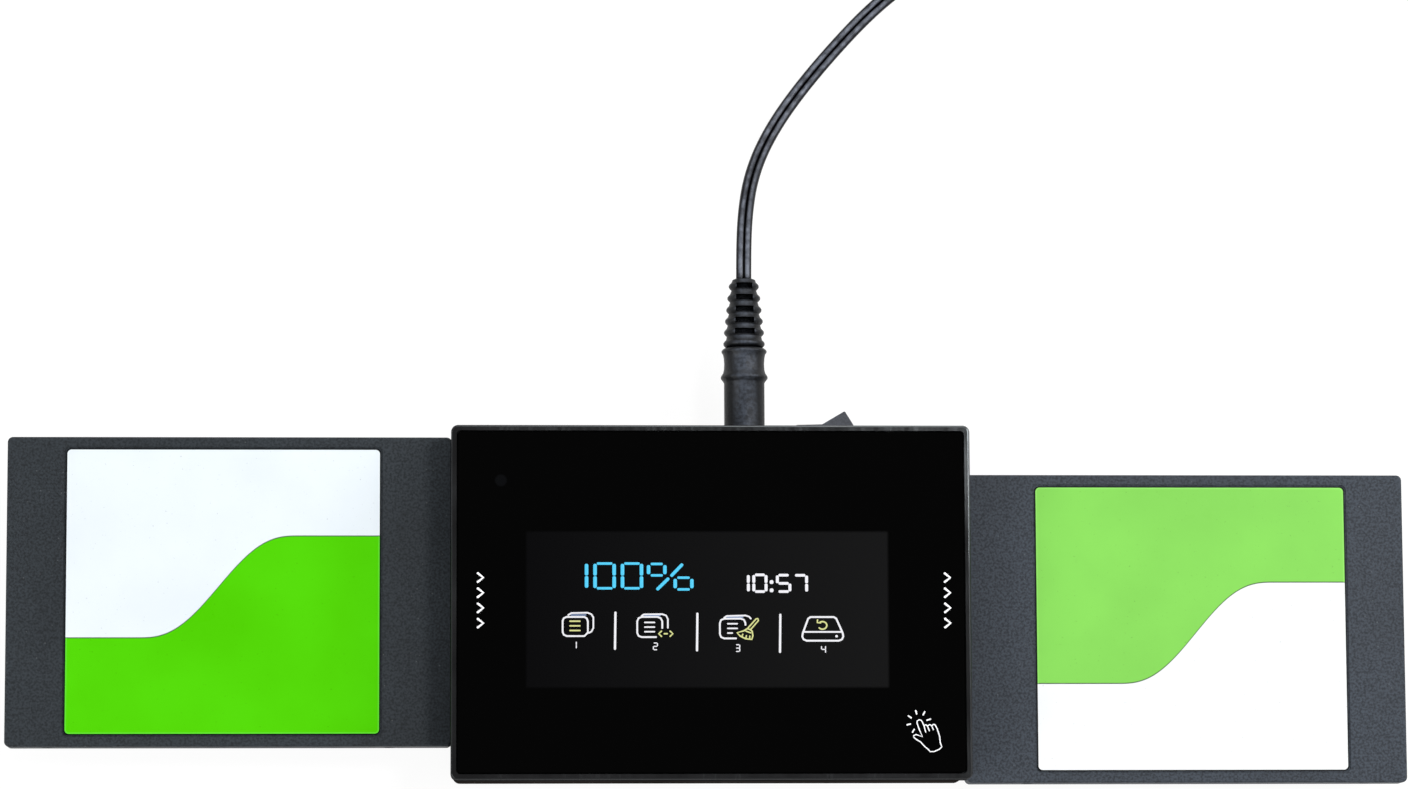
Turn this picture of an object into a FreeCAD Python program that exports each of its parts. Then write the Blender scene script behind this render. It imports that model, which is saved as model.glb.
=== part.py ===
import FreeCAD
import Part
import Sketcher
import math
import os

# A pocket drive duplicator: a flat desktop case with a glass touch panel, a 2.5 inch drive plugged into
# each side, a rocker switch and a power lead at the rear, and the lead's wall adapter.
# Millimetres. The origin is under the centre of the case, on the desk. +X is the target drive's side,
# +Y is the rear, +Z is up.

doc = FreeCAD.newDocument("drive_duplicator")
sheet = doc.addObject("Spreadsheet::Sheet", "sizes")

DRIVING_SIZES = {
    # the case
    "case_length": 115.5,
    "case_width": 78.5,
    "case_height": 28.0,
    "case_corner": 1.6,
    "case_wall": 2.0,
    "case_floor": 2.0,
    "parting_height": 22.5,
    "foot_height": 1.2,
    "foot_radius": 4.5,
    "foot_recess": 0.4,
    "bottom_edge": 1.0,
    "top_edge": 0.5,
    "frame_overhang": 0.5,
    "lip_thickness": 0.85,
    "lip_height": 1.5,
    "lip_gap": 0.15,
    # glass, sensor and display
    "rim_width": 1.25,
    "glass_gap": 0.25,
    "glass_thickness": 1.1,
    "glass_sink": 0.1,
    "ledge_thickness": 1.5,
    "window_length": 91.0,
    "window_width": 46.0,
    "display_length": 87.0,
    "display_width": 42.0,
    "display_offset": -1.5,
    "sensor_thickness": 0.5,
    "panel_thickness": 1.2,
    "backlight_thickness": 2.2,
    # screws, bosses and the main board
    "boss_inset_x": 5.8,
    "boss_inset_y": 5.8,
    "boss_radius": 4.2,
    "boss_top": 9.0,
    "pillar_radius": 3.3,
    "screw_radius": 1.5,
    "screw_length": 12.0,
    "head_radius": 2.75,
    "head_height": 1.8,
    "board_margin_x": 5.25,
    "board_margin_y": 4.25,
    "board_thickness": 1.6,
    "board_underside": 5.9,
    "standoff_spacing_x": 78.0,
    "standoff_spacing_y": 54.0,
    "standoff_radius": 2.8,
    # the drives
    "drive_length": 100.0,
    "drive_width": 69.85,
    "drive_height": 7.0,
    "drive_underside": 8.7,
    "drive_gap": 0.3,
    "drive_corner": 1.2,
    "drive_wall": 2.0,
    "drive_skin": 1.0,
    "drive_parting": 5.0,
    "connector_offset": 4.8,
    "tongue_height": 3.5,
    "label_length": 70.8,
    "label_width": 64.6,
    "label_start": 16.0,
    "label_recess": 0.25,
    "source_socket_y": -1.4,
    "target_socket_y": -0.2,
    # the drive connector
    "nose_width": 36.6,
    "nose_height": 4.4,
    "nose_reach": 5.3,
    "nose_clearance": 0.3,
    "socket_depth": 10.0,
    "pin_pitch": 1.27,
    # the rocker switch
    "switch_x": 26.7,
    "switch_height": 14.5,
    "bezel_width": 21.0,
    "bezel_height": 15.0,
    "bezel_thickness": 1.1,
    "switch_body_width": 18.8,
    "switch_body_height": 12.8,
    "switch_body_depth": 14.0,
    "switch_well": 15.6,
    "pivot_depth": 2.0,
    "pivot_radius": 1.2,
    "rocker_tilt": 16.0,
    "rocker_height": 10.0,
    # the power jack and plug
    "plug_x": 8.3,
    "plug_height": 14.0,
    "jack_nose_radius": 4.1,
    "jack_bore_radius": 2.82,
    "jack_bore_depth": 10.4,
    "jack_pin_radius": 1.0,
    "barrel_radius": 2.75,
    "barrel_bore": 1.3,
    "barrel_length": 9.5,
    "plug_gap": 0.3,
    "grip_radius": 4.6,
    "collar_radius": 5.35,
    "first_collar": 12.9,
    "second_collar": 18.9,
    "relief_length": 15.9,
    "relief_root_radius": 4.75,
    "relief_tip_radius": 3.45,
    # the cord and the wall adapter
    "cord_radius": 1.75,
    "coil_radius": 19.25,
    "coil_width": 10.5,
    "coil_height": 6.6,
    "adapter_length": 62.0,
    "adapter_depth": 27.0,
    "adapter_height": 36.0,
}


class Measure:
    """A size that knows both its number and the sheet expression that gives it."""

    def __init__(self, number, text):
        self.number = number
        self.text = text

    def __add__(self, other):
        other = measure(other)
        return Measure(self.number + other.number, f"({self.text} + {other.text})")

    def __sub__(self, other):
        other = measure(other)
        return Measure(self.number - other.number, f"({self.text} - {other.text})")

    def __mul__(self, other):
        other = measure(other)
        return Measure(self.number * other.number, f"({self.text} * {other.text})")

    def __truediv__(self, other):
        other = measure(other)
        return Measure(self.number / other.number, f"({self.text} / {other.text})")

    def __radd__(self, other):
        return measure(other) + self

    def __rsub__(self, other):
        return measure(other) - self

    def __rmul__(self, other):
        return measure(other) * self

    def __neg__(self):
        return Measure(-self.number, f"(0 - {self.text})")


def measure(thing):
    """A plain number becomes a Measure too, so that both can be bound."""
    if isinstance(thing, Measure):
        return thing
    return Measure(float(thing), f"({float(thing)})")


class Sizes:
    """The sheet's cells by name, as Measures."""


size = Sizes()
for row, (alias, value) in enumerate(DRIVING_SIZES.items(), start=1):
    sheet.set(f"A{row}", alias.replace("_", " "))
    sheet.set(f"B{row}", str(value))
    sheet.setAlias(f"B{row}", alias)
    setattr(size, alias, Measure(value, f"sizes.{alias}"))
doc.recompute()

nodes = []


# ---------------------------------------------------------------- ways of making things


def bind(thing, path, value):
    thing.setExpression(path, measure(value).text)


def place(thing, x=0, y=0, z=0, turn=0, about=(0, 0, 1)):
    """Puts an object at a place given by Measures, turned by a fixed number of degrees."""
    thing.Placement = FreeCAD.Placement(
        FreeCAD.Vector(0, 0, 0), FreeCAD.Rotation(FreeCAD.Vector(*about), turn)
    )
    for axis, value in zip("xyz", (x, y, z)):
        bind(thing, f"Placement.Base.{axis}", value)
    return thing


def node(thing, label):
    """Marks an object as one finished piece and names it."""
    thing.Label = label
    nodes.append(thing)
    return thing


def box(length, width, height, x=0, y=0, z=0):
    """A block centred on x and y that stands on z."""
    length, width, height = measure(length), measure(width), measure(height)
    made = doc.addObject("Part::Box", "box")
    bind(made, "Length", length)
    bind(made, "Width", width)
    bind(made, "Height", height)
    return place(made, x - length / 2, y - width / 2, z)


AXIS_TURNS = {
    "+X": (90, (0, 1, 0)),
    "-X": (-90, (0, 1, 0)),
    "+Y": (-90, (1, 0, 0)),
    "-Y": (90, (1, 0, 0)),
    "+Z": (0, (0, 0, 1)),
}


def rod(radius, length, x=0, y=0, z=0, along="+Z"):
    """A cylinder that starts at a point and runs along an axis."""
    made = doc.addObject("Part::Cylinder", "rod")
    bind(made, "Radius", radius)
    bind(made, "Height", length)
    turn, about = AXIS_TURNS[along]
    return place(made, x, y, z, turn, about)


def cone(start_radius, end_radius, length, x=0, y=0, z=0, along="+Z"):
    made = doc.addObject("Part::Cone", "cone")
    bind(made, "Radius1", start_radius)
    bind(made, "Radius2", end_radius)
    bind(made, "Height", length)
    turn, about = AXIS_TURNS[along]
    return place(made, x, y, z, turn, about)


def join(*things):
    made = doc.addObject("Part::MultiFuse", "join")
    made.Shapes = list(things)
    return made


def cut(base, *tools):
    made = doc.addObject("Part::Cut", "cut")
    made.Base = base
    made.Tool = tools[0] if len(tools) == 1 else join(*tools)
    return made


def group(*things):
    """Separate solids that share one node."""
    made = doc.addObject("Part::Compound", "group")
    made.Links = list(things)
    return made


def body(label):
    return node(doc.addObject("PartDesign::Body", label), label)


# The direction in which each origin plane's sketches face, as the sign of its world axis.
PLANE_SIGN = {"XY_Plane": 1, "XZ_Plane": -1, "YZ_Plane": 1}


def sketch(owner, plane="XY_Plane", across=0, up=0, level=0):
    """A sketch on one of the body's origin planes.

    across and up place its own origin along the plane, and level is its height on the world axis
    that the plane faces."""
    made = owner.newObject("Sketcher::SketchObject", "sketch")
    support = next(f for f in owner.Origin.OriginFeatures if f.Role == plane)
    made.AttachmentSupport = (support, [""])
    made.MapMode = "FlatFace"
    bind(made, "AttachmentOffset.Base.x", across)
    bind(made, "AttachmentOffset.Base.y", up)
    bind(made, "AttachmentOffset.Base.z", measure(level) * PLANE_SIGN[plane])
    return made


def bound(outline, constraint, value):
    """Adds a sized constraint whose value follows the sheet."""
    value = measure(value)
    index = outline.addConstraint(Sketcher.Constraint(*constraint, value.number))
    bind(outline, f"Constraints[{index}]", value)


ORIGIN_POINT = (-1, 1)
START, END, CENTRE = 1, 2, 3


def rectangle(outline, length, width, radius=None):
    """A rectangle centred on the sketch's origin, with rounded corners where a radius is given."""
    half_x, half_y = measure(length).number / 2, measure(width).number / 2
    round_by = measure(radius).number if radius is not None else 0.0
    first = outline.GeometryCount
    inner_x, inner_y = half_x - round_by, half_y - round_by
    sides = [
        ((-inner_x, -half_y), (inner_x, -half_y)),
        ((half_x, -inner_y), (half_x, inner_y)),
        ((inner_x, half_y), (-inner_x, half_y)),
        ((-half_x, inner_y), (-half_x, -inner_y)),
    ]
    for start, end in sides:
        outline.addGeometry(
            Part.LineSegment(FreeCAD.Vector(*start, 0), FreeCAD.Vector(*end, 0)), False
        )
    lines = [first + i for i in range(4)]
    for line in (lines[0], lines[2]):
        outline.addConstraint(Sketcher.Constraint("Horizontal", line))
    for line in (lines[1], lines[3]):
        outline.addConstraint(Sketcher.Constraint("Vertical", line))
    if radius is None:
        for i in range(4):
            outline.addConstraint(
                Sketcher.Constraint("Coincident", lines[i], END, lines[(i + 1) % 4], START)
            )
        outline.addConstraint(
            Sketcher.Constraint("Symmetric", lines[0], START, lines[2], START, *ORIGIN_POINT)
        )
    else:
        centres = [(inner_x, -inner_y), (inner_x, inner_y), (-inner_x, inner_y), (-inner_x, -inner_y)]
        arcs = []
        for i, centre in enumerate(centres):
            circle = Part.Circle(FreeCAD.Vector(*centre, 0), FreeCAD.Vector(0, 0, 1), round_by)
            start_angle = (i - 1) * math.pi / 2
            arc = Part.ArcOfCircle(circle, start_angle, start_angle + math.pi / 2)
            arcs.append(outline.addGeometry(arc, False))
        for i in range(4):
            after = lines[(i + 1) % 4]
            outline.addConstraint(Sketcher.Constraint("Tangent", lines[i], END, arcs[i], START))
            outline.addConstraint(Sketcher.Constraint("Tangent", arcs[i], END, after, START))
        for arc in arcs[1:]:
            outline.addConstraint(Sketcher.Constraint("Equal", arcs[0], arc))
        outline.addConstraint(
            Sketcher.Constraint("Symmetric", arcs[0], CENTRE, arcs[2], CENTRE, *ORIGIN_POINT)
        )
        bound(outline, ("Radius", arcs[0]), radius)
    bound(outline, ("DistanceX", lines[3], START, lines[1], START), length)
    bound(outline, ("DistanceY", lines[0], START, lines[2], START), width)
    return outline


def circle(outline, radius):
    made = outline.addGeometry(
        Part.Circle(FreeCAD.Vector(0, 0, 0), FreeCAD.Vector(0, 0, 1), measure(radius).number), False
    )
    outline.addConstraint(Sketcher.Constraint("Coincident", made, CENTRE, *ORIGIN_POINT))
    bound(outline, ("Radius", made), radius)
    return outline


def four_circles(outline, spacing_x, spacing_y, radius):
    """Four equal circles at the corners of a rectangle centred on the sketch's origin."""
    half_x, half_y = measure(spacing_x).number / 2, measure(spacing_y).number / 2
    made = []
    for x, y in ((-half_x, -half_y), (half_x, -half_y), (half_x, half_y), (-half_x, half_y)):
        ring = Part.Circle(FreeCAD.Vector(x, y, 0), FreeCAD.Vector(0, 0, 1), measure(radius).number)
        made.append(outline.addGeometry(ring, False))
    for ring in made[1:]:
        outline.addConstraint(Sketcher.Constraint("Equal", made[0], ring))
    outline.addConstraint(
        Sketcher.Constraint("Symmetric", made[0], CENTRE, made[2], CENTRE, *ORIGIN_POINT)
    )
    outline.addConstraint(Sketcher.Constraint("Horizontal", made[0], CENTRE, made[1], CENTRE))
    outline.addConstraint(Sketcher.Constraint("Vertical", made[1], CENTRE, made[2], CENTRE))
    outline.addConstraint(Sketcher.Constraint("Horizontal", made[2], CENTRE, made[3], CENTRE))
    outline.addConstraint(Sketcher.Constraint("Vertical", made[3], CENTRE, made[0], CENTRE))
    bound(outline, ("Radius", made[0]), radius)
    bound(outline, ("DistanceX", made[0], CENTRE, made[1], CENTRE), spacing_x)
    bound(outline, ("DistanceY", made[1], CENTRE, made[2], CENTRE), spacing_y)
    return outline


def polygon(outline, points):
    """A closed outline through points given as pairs of Measures, each held from the origin."""
    first = outline.GeometryCount
    places = [(measure(x), measure(y)) for x, y in points]
    for i, (x, y) in enumerate(places):
        next_x, next_y = places[(i + 1) % len(places)]
        line = Part.LineSegment(
            FreeCAD.Vector(x.number, y.number, 0), FreeCAD.Vector(next_x.number, next_y.number, 0)
        )
        outline.addGeometry(line, False)
    for i, (x, y) in enumerate(places):
        after = first + (i + 1) % len(places)
        outline.addConstraint(Sketcher.Constraint("Coincident", first + i, END, after, START))
        bound(outline, ("DistanceX", *ORIGIN_POINT, first + i, START), x)
        bound(outline, ("DistanceY", *ORIGIN_POINT, first + i, START), y)
    return outline


def bevelled(outline, length, height, bevel):
    """A rectangle about the sketch's centre with its corners cut off."""
    far_x, far_y = length / 2, height / 2
    near_x, near_y = far_x - bevel, far_y - bevel
    return polygon(
        outline,
        [
            (far_x, near_y),
            (near_x, far_y),
            (-near_x, far_y),
            (-far_x, near_y),
            (-far_x, -near_y),
            (-near_x, -far_y),
            (near_x, -far_y),
            (far_x, -near_y),
        ],
    )


def extrude(owner, kind, outline, depth, both_ways=False, reverse=False):
    made = owner.newObject(f"PartDesign::{kind}", kind.lower())
    made.Profile = outline
    bind(made, "Length", depth)
    made.Reversed = reverse
    if both_ways:
        made.SideType = "Symmetric"
    outline.Visibility = False
    doc.recompute()
    return made


def pad(owner, outline, depth, both_ways=False, reverse=False):
    return extrude(owner, "Pad", outline, depth, both_ways, reverse)


def pocket(owner, outline, depth, both_ways=False, reverse=False):
    """Cuts against the sketch's own facing direction, and makes sure that it did cut."""
    before = owner.Shape.Volume
    made = extrude(owner, "Pocket", outline, depth, both_ways, reverse)
    if owner.Shape.Volume > before - 1e-6:
        raise RuntimeError(f"a pocket in {owner.Label} cut nothing")
    return made


def revolve(owner, outline, turn=360):
    """Turns an outline about the body's own upright axis."""
    made = owner.newObject("PartDesign::Revolution", "revolution")
    made.Profile = outline
    axis = next(f for f in owner.Origin.OriginFeatures if f.Role == "Z_Axis")
    made.ReferenceAxis = (axis, [""])
    made.Angle = turn
    doc.recompute()
    return made


def edges_where(shape, test):
    """The names of the edges whose two ends and middle all pass a test."""
    names = []
    for i, edge in enumerate(shape.Edges, start=1):
        middle = edge.valueAt((edge.FirstParameter + edge.LastParameter) / 2)
        if all(test(point) for point in [v.Point for v in edge.Vertexes] + [middle]):
            names.append(f"Edge{i}")
    return names


def round_edges(owner, radius, test, kind="Fillet"):
    doc.recompute()
    base = owner.Tip
    made = owner.newObject(f"PartDesign::{kind}", kind.lower())
    made.Base = (base, edges_where(base.Shape, test))
    bind(made, "Radius" if kind == "Fillet" else "Size", radius)
    doc.recompute()
    return made


def near(a, b):
    return abs(a - b) < 1e-4


# ---------------------------------------------------------------- shared places

outer = (size.case_length, size.case_width)
cavity_length = size.case_length - 2 * size.case_wall
cavity_width = size.case_width - 2 * size.case_wall
floor_top = size.foot_height + size.case_floor
boss_spacing_x = size.case_length - 2 * size.boss_inset_x
boss_spacing_y = size.case_width - 2 * size.boss_inset_y
boss_places = [(sx * boss_spacing_x / 2, sy * boss_spacing_y / 2) for sx in (-1, 1) for sy in (-1, 1)]
standoff_places = [
    (sx * size.standoff_spacing_x / 2, sy * size.standoff_spacing_y / 2)
    for sx in (-1, 1)
    for sy in (-1, 1)
]
board_top = size.board_underside + size.board_thickness
tongue_level = size.drive_underside + size.tongue_height
rear_face = size.case_width / 2
side_face = size.case_length / 2
glass_top = size.case_height - size.glass_sink
glass_bottom = glass_top - size.glass_thickness
ledge_bottom = glass_bottom - size.ledge_thickness
tray_bottom = (
    glass_bottom - size.sensor_thickness - size.panel_thickness - size.backlight_thickness
)
window_gap = 0.3  # how far the socket, jack and switch stay from the edge of their openings


# ---------------------------------------------------------------- bottom housing

# A deep moulded tub. The screws come up through its corner bosses into the top housing's pillars,
# and the main board stands on its four standoffs.
tub = body("bottom_housing")
pad(
    tub,
    rectangle(sketch(tub, level=size.foot_height), *outer, size.case_corner),
    size.parting_height - size.foot_height,
)
round_edges(tub, size.bottom_edge, lambda p: near(p.z, size.foot_height.number))
pocket(
    tub,
    rectangle(sketch(tub, level=size.parting_height), cavity_length, cavity_width),
    size.parting_height - floor_top,
)
# the step round the inside of the rim that takes the top housing's lip
pocket(
    tub,
    rectangle(
        sketch(tub, level=size.parting_height),
        cavity_length + 2 * (size.lip_thickness + size.lip_gap),
        cavity_width + 2 * (size.lip_thickness + size.lip_gap),
    ),
    size.lip_height + size.lip_gap,
)
boss_start = floor_top - size.case_floor / 2
pad(
    tub,
    four_circles(sketch(tub, level=boss_start), boss_spacing_x, boss_spacing_y, size.boss_radius),
    size.boss_top - boss_start,
)
pad(
    tub,
    four_circles(
        sketch(tub, level=boss_start),
        size.standoff_spacing_x,
        size.standoff_spacing_y,
        size.standoff_radius,
    ),
    size.board_underside - boss_start,
)
# foot recess, screw head recess and screw hole in each boss, all cut from below
head_recess_top = size.foot_height + size.foot_recess + size.head_height + 0.6
screw_hole_radius = size.screw_radius + 0.2
pocket(
    tub,
    four_circles(
        sketch(tub, level=size.foot_height + size.foot_recess),
        boss_spacing_x,
        boss_spacing_y,
        size.foot_radius + 0.1,
    ),
    size.foot_recess,
)
pocket(
    tub,
    four_circles(
        sketch(tub, level=head_recess_top), boss_spacing_x, boss_spacing_y, size.head_radius + 0.25
    ),
    head_recess_top - size.foot_height,
)
pocket(
    tub,
    four_circles(sketch(tub, level=size.boss_top), boss_spacing_x, boss_spacing_y, screw_hole_radius),
    size.boss_top - size.foot_height,
)
board_screw_radius = size.standoff_radius * 0.42
pocket(
    tub,
    four_circles(
        sketch(tub, level=size.board_underside),
        size.standoff_spacing_x,
        size.standoff_spacing_y,
        board_screw_radius,
    ),
    size.board_underside - floor_top,
)
# windows for the two drive sockets
for wall_x, socket_y in ((-side_face, size.source_socket_y), (side_face, size.target_socket_y)):
    window = sketch(tub, "YZ_Plane", across=socket_y, up=tongue_level, level=wall_x)
    rectangle(window, size.nose_width + 2 * window_gap, size.nose_height + 2 * window_gap)
    pocket(tub, window, size.case_wall * 2.5, both_ways=True)
# round hole for the power jack and square hole for the switch
jack_hole = sketch(tub, "XZ_Plane", across=size.plug_x, up=size.plug_height, level=rear_face)
pocket(tub, circle(jack_hole, size.jack_nose_radius + window_gap), size.case_wall * 2.5, both_ways=True)
switch_hole = sketch(tub, "XZ_Plane", across=size.switch_x, up=size.switch_height, level=rear_face)
rectangle(switch_hole, size.switch_body_width + window_gap, size.switch_body_height + window_gap)
pocket(tub, switch_hole, size.case_wall * 2.5, both_ways=True)


# ---------------------------------------------------------------- top housing

# A shallow frame that stands out a little over the tub. Its rim runs round the glass, which lies on
# the ledge, and the display sits in the window through the ledge.
frame_length = size.case_length + 2 * size.frame_overhang
frame_width = size.case_width + 2 * size.frame_overhang
frame = body("top_housing")
pad(
    frame,
    rectangle(
        sketch(frame, level=size.parting_height), frame_length, frame_width, size.case_corner
    ),
    size.case_height - size.parting_height,
)
round_edges(frame, size.top_edge, lambda p: near(p.z, size.case_height.number))
glass_seat_length = frame_length - 2 * size.rim_width
glass_seat_width = frame_width - 2 * size.rim_width
glass_corner = size.case_corner - size.rim_width / 2
pocket(
    frame,
    rectangle(
        sketch(frame, level=size.case_height), glass_seat_length, glass_seat_width, glass_corner
    ),
    size.case_height - glass_bottom,
)
pocket(
    frame,
    rectangle(sketch(frame, level=ledge_bottom), cavity_length, cavity_width),
    ledge_bottom - size.parting_height,
)
pocket(
    frame,
    rectangle(
        sketch(frame, across=size.display_offset, up=size.display_offset, level=glass_bottom),
        size.window_length,
        size.window_width,
    ),
    size.ledge_thickness,
)
# the lip that locates in the tub's rim: a ring that hangs from the wall
lip_outline = sketch(frame, level=size.parting_height - size.lip_height)
rectangle(
    lip_outline,
    cavity_length + 2 * size.lip_thickness,
    cavity_width + 2 * size.lip_thickness,
)
rectangle(lip_outline, cavity_length, cavity_width)
pad(frame, lip_outline, size.lip_height)
# screw pillars, with pilot holes from below
pad(
    frame,
    four_circles(sketch(frame, level=size.boss_top), boss_spacing_x, boss_spacing_y, size.pillar_radius),
    ledge_bottom - size.boss_top + size.ledge_thickness / 2,
)
pilot_depth = size.screw_length
pocket(
    frame,
    four_circles(
        sketch(frame, level=size.boss_top + pilot_depth),
        boss_spacing_x,
        boss_spacing_y,
        size.screw_radius + 0.05,
    ),
    pilot_depth,
)
# ribs that keep the display tray from sliding
rib_bottom = tray_bottom + 0.2
rib_place = size.display_width / 2 + 1.0
for sign in (-1, 1):
    rib = sketch(
        frame,
        across=size.display_offset,
        up=size.display_offset + sign * (rib_place + 1.4),
        level=rib_bottom,
    )
    rib_height = ledge_bottom - rib_bottom + size.ledge_thickness / 4
    pad(frame, rectangle(rib, size.display_length * 0.8, 1.2), rib_height)


# ---------------------------------------------------------------- glass, sensor and display

glass = body("cover_glass")
glass_length = glass_seat_length - 2 * size.glass_gap
glass_width = glass_seat_width - 2 * size.glass_gap
pad(
    glass,
    rectangle(sketch(glass, level=glass_bottom), glass_length, glass_width, glass_corner),
    size.glass_thickness,
)
round_edges(glass, 0.2, lambda p: near(p.z, glass_top.number), "Chamfer")

display_place = {"x": size.display_offset, "y": size.display_offset}
sensor_bottom = glass_bottom - size.sensor_thickness
node(
    group(
        box(
            size.window_length - 1.5,
            size.window_width - 1.5,
            size.sensor_thickness,
            z=sensor_bottom,
            **display_place,
        )
    ),
    "touch_sensor",
)
panel_bottom = sensor_bottom - size.panel_thickness
node(
    group(
        box(
            size.display_length - 2.0,
            size.display_width - 2.0,
            size.panel_thickness,
            z=panel_bottom,
            **display_place,
        )
    ),
    "display_panel",
)
# the pressed tray behind the panel, with a raised edge round it and lanced tabs at its ends
tray_wall = 0.4
tray = cut(
    box(
        size.display_length,
        size.display_width,
        size.backlight_thickness + size.panel_thickness * 0.8,
        z=tray_bottom,
        **display_place,
    ),
    box(
        size.display_length - 2 * tray_wall,
        size.display_width - 2 * tray_wall,
        size.backlight_thickness,
        z=panel_bottom,
        **display_place,
    ),
)
node(tray, "display_backlight")


# ---------------------------------------------------------------- main board and what stands on it

board = body("main_board")
board_length = size.case_length - 2 * size.board_margin_x
board_width = size.case_width - 2 * size.board_margin_y
pad(
    board,
    rectangle(sketch(board, level=size.board_underside), board_length, board_width, 1.0),
    size.board_thickness,
)
pocket(
    board,
    four_circles(
        sketch(board, level=board_top), boss_spacing_x, boss_spacing_y, size.boss_radius + 0.6
    ),
    size.board_thickness,
)
board_hole_radius = board_screw_radius + 0.35
pocket(
    board,
    four_circles(
        sketch(board, level=board_top),
        size.standoff_spacing_x,
        size.standoff_spacing_y,
        board_hole_radius,
    ),
    size.board_thickness,
)

# the processor: a square package with its ground tab, and a finned heat sink glued on it
processor_x, processor_y = -14.0, -4.0
chip_height = 1.4
processor_side = 15.0
sink_base = 1.2
sink_height = 5.0
fin_count = 6
fins = [
    box(
        0.9,
        processor_side,
        sink_height,
        x=processor_x - processor_side / 2 + 0.45 + i * (processor_side - 0.9) / (fin_count - 1),
        y=processor_y,
        z=board_top + chip_height,
    )
    for i in range(fin_count)
]
node(
    group(box(processor_side, processor_side, chip_height, x=processor_x, y=processor_y, z=board_top)),
    "processor",
)
node(
    join(
        box(processor_side, processor_side, sink_base, x=processor_x, y=processor_y, z=board_top + chip_height),
        *fins,
    ),
    "heat_sink",
)
memory_row = [box(8.0, 10.5, 1.1, x=x, y=12.0, z=board_top) for x in (-26.0, -14.0)]
node(group(*memory_row), "memory_chips")
can_places = [(-35.0, -14.0), (-35.0, 10.0), (34.0, -22.0)]
cans = []
for x, y in can_places:
    foot = box(6.6, 6.6, 0.8, x=x, y=y, z=board_top)
    can = rod(3.1, 5.6, x=x, y=y, z=board_top + 0.8)
    cans.append(join(foot, can))
node(group(*cans), "capacitors")
coils = [
    cut(box(7.0, 7.0, 3.4, x=x, y=y, z=board_top), rod(2.2, 0.5, x=x, y=y, z=board_top + 3.0))
    for x, y in ((6.0, -8.0), (6.0, 4.0))
]
node(group(*coils), "inductors")
node(group(box(5.0, 3.2, 1.0, x=0.0, y=-20.0, z=board_top)), "clock_crystal")
buzzer_x, buzzer_y = 22.0, -22.0
buzzer = cut(
    rod(6.0, 6.5, x=buzzer_x, y=buzzer_y, z=board_top), rod(1.0, 2.0, x=buzzer_x, y=buzzer_y, z=board_top + 5)
)
node(buzzer, "buzzer")

# the lamp stands on the ledge's underside behind the faint spot at the glass's corner, on two legs
lamp_x, lamp_y = -47.1, 27.2
lamp_legs = [
    box(0.5, 0.5, ledge_bottom - 4.0 - board_top, x=lamp_x + side * 1.27, y=lamp_y, z=board_top)
    for side in (-1, 1)
]
lamp = join(
    rod(1.5, 3.7, x=lamp_x, y=lamp_y, z=ledge_bottom - 4.0),
    rod(1.9, 0.8, x=lamp_x, y=lamp_y, z=ledge_bottom - 4.0),
    *lamp_legs,
)
node(lamp, "status_light")


# ---------------------------------------------------------------- display ribbon

# A flexible strip from the underside of the display tray, folded down to a connector on the board.
ribbon_connector_y = -26.0
ribbon_width = 20.0
ribbon_thickness = 0.3
ribbon_x = -14.0
fold_radius = 1.2
strip = body("display_ribbon")
tray_front = size.display_offset - size.display_width / 2
strip_top = tray_bottom
strip_foot = board_top + 1.0
strip_outline = sketch(strip, "YZ_Plane", level=ribbon_x)
back_of_fold = measure(ribbon_connector_y) - 3.0
strip_points = [
    (tray_front + 6.0, strip_top),
    (back_of_fold + fold_radius, strip_top),
    (back_of_fold, strip_top - fold_radius),
    (back_of_fold, strip_foot + fold_radius),
    (back_of_fold + fold_radius, strip_foot),
    (measure(ribbon_connector_y) + 1.5, strip_foot),
    (measure(ribbon_connector_y) + 1.5, strip_foot + ribbon_thickness),
    (back_of_fold + fold_radius, strip_foot + ribbon_thickness),
    (back_of_fold + ribbon_thickness, strip_foot + fold_radius),
    (back_of_fold + ribbon_thickness, strip_top - fold_radius),
    (back_of_fold + fold_radius, strip_top - ribbon_thickness),
    (tray_front + 6.0, strip_top - ribbon_thickness),
]
pad(strip, polygon(strip_outline, strip_points), ribbon_width, both_ways=True)
connector_body = cut(
    box(24.0, 5.0, 2.2, x=ribbon_x, y=ribbon_connector_y + 1.0, z=board_top),
    box(20.6, 3.4, 0.5, x=ribbon_x, y=ribbon_connector_y, z=board_top + 0.9),
)
node(connector_body, "ribbon_connector")


# ---------------------------------------------------------------- drive sockets

# Each socket is a right-angle 22-way receptacle: a flanged body on the board's edge and a nose that
# reaches out through the side wall, with two keyed slots. Slots: seven signal ways and fifteen power ways.
SIGNAL_WAYS, POWER_WAYS = 7, 15
signal_width = 10.3
power_width = 20.6
tongue_gap = 2.4
tongue_thickness = 1.23
key_width, key_drop = 1.1, 1.1
contact_thickness = 0.15
tongue_reach = 5.6
pair_width = signal_width + tongue_gap + power_width
power_centre = -pair_width / 2 + power_width / 2
signal_centre = pair_width / 2 - signal_width / 2
# each tongue: centre across the pair, width, number of ways, and the side where its key hangs
tongues = [
    (power_centre, power_width, POWER_WAYS, -1),
    (signal_centre, signal_width, SIGNAL_WAYS, -1),
]


def way_places():
    """The places of the contacts across a connector."""
    for centre, _, ways, _ in tongues:
        for i in range(ways):
            yield centre + 0.5 + (i - (ways - 1) / 2) * size.pin_pitch


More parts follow.
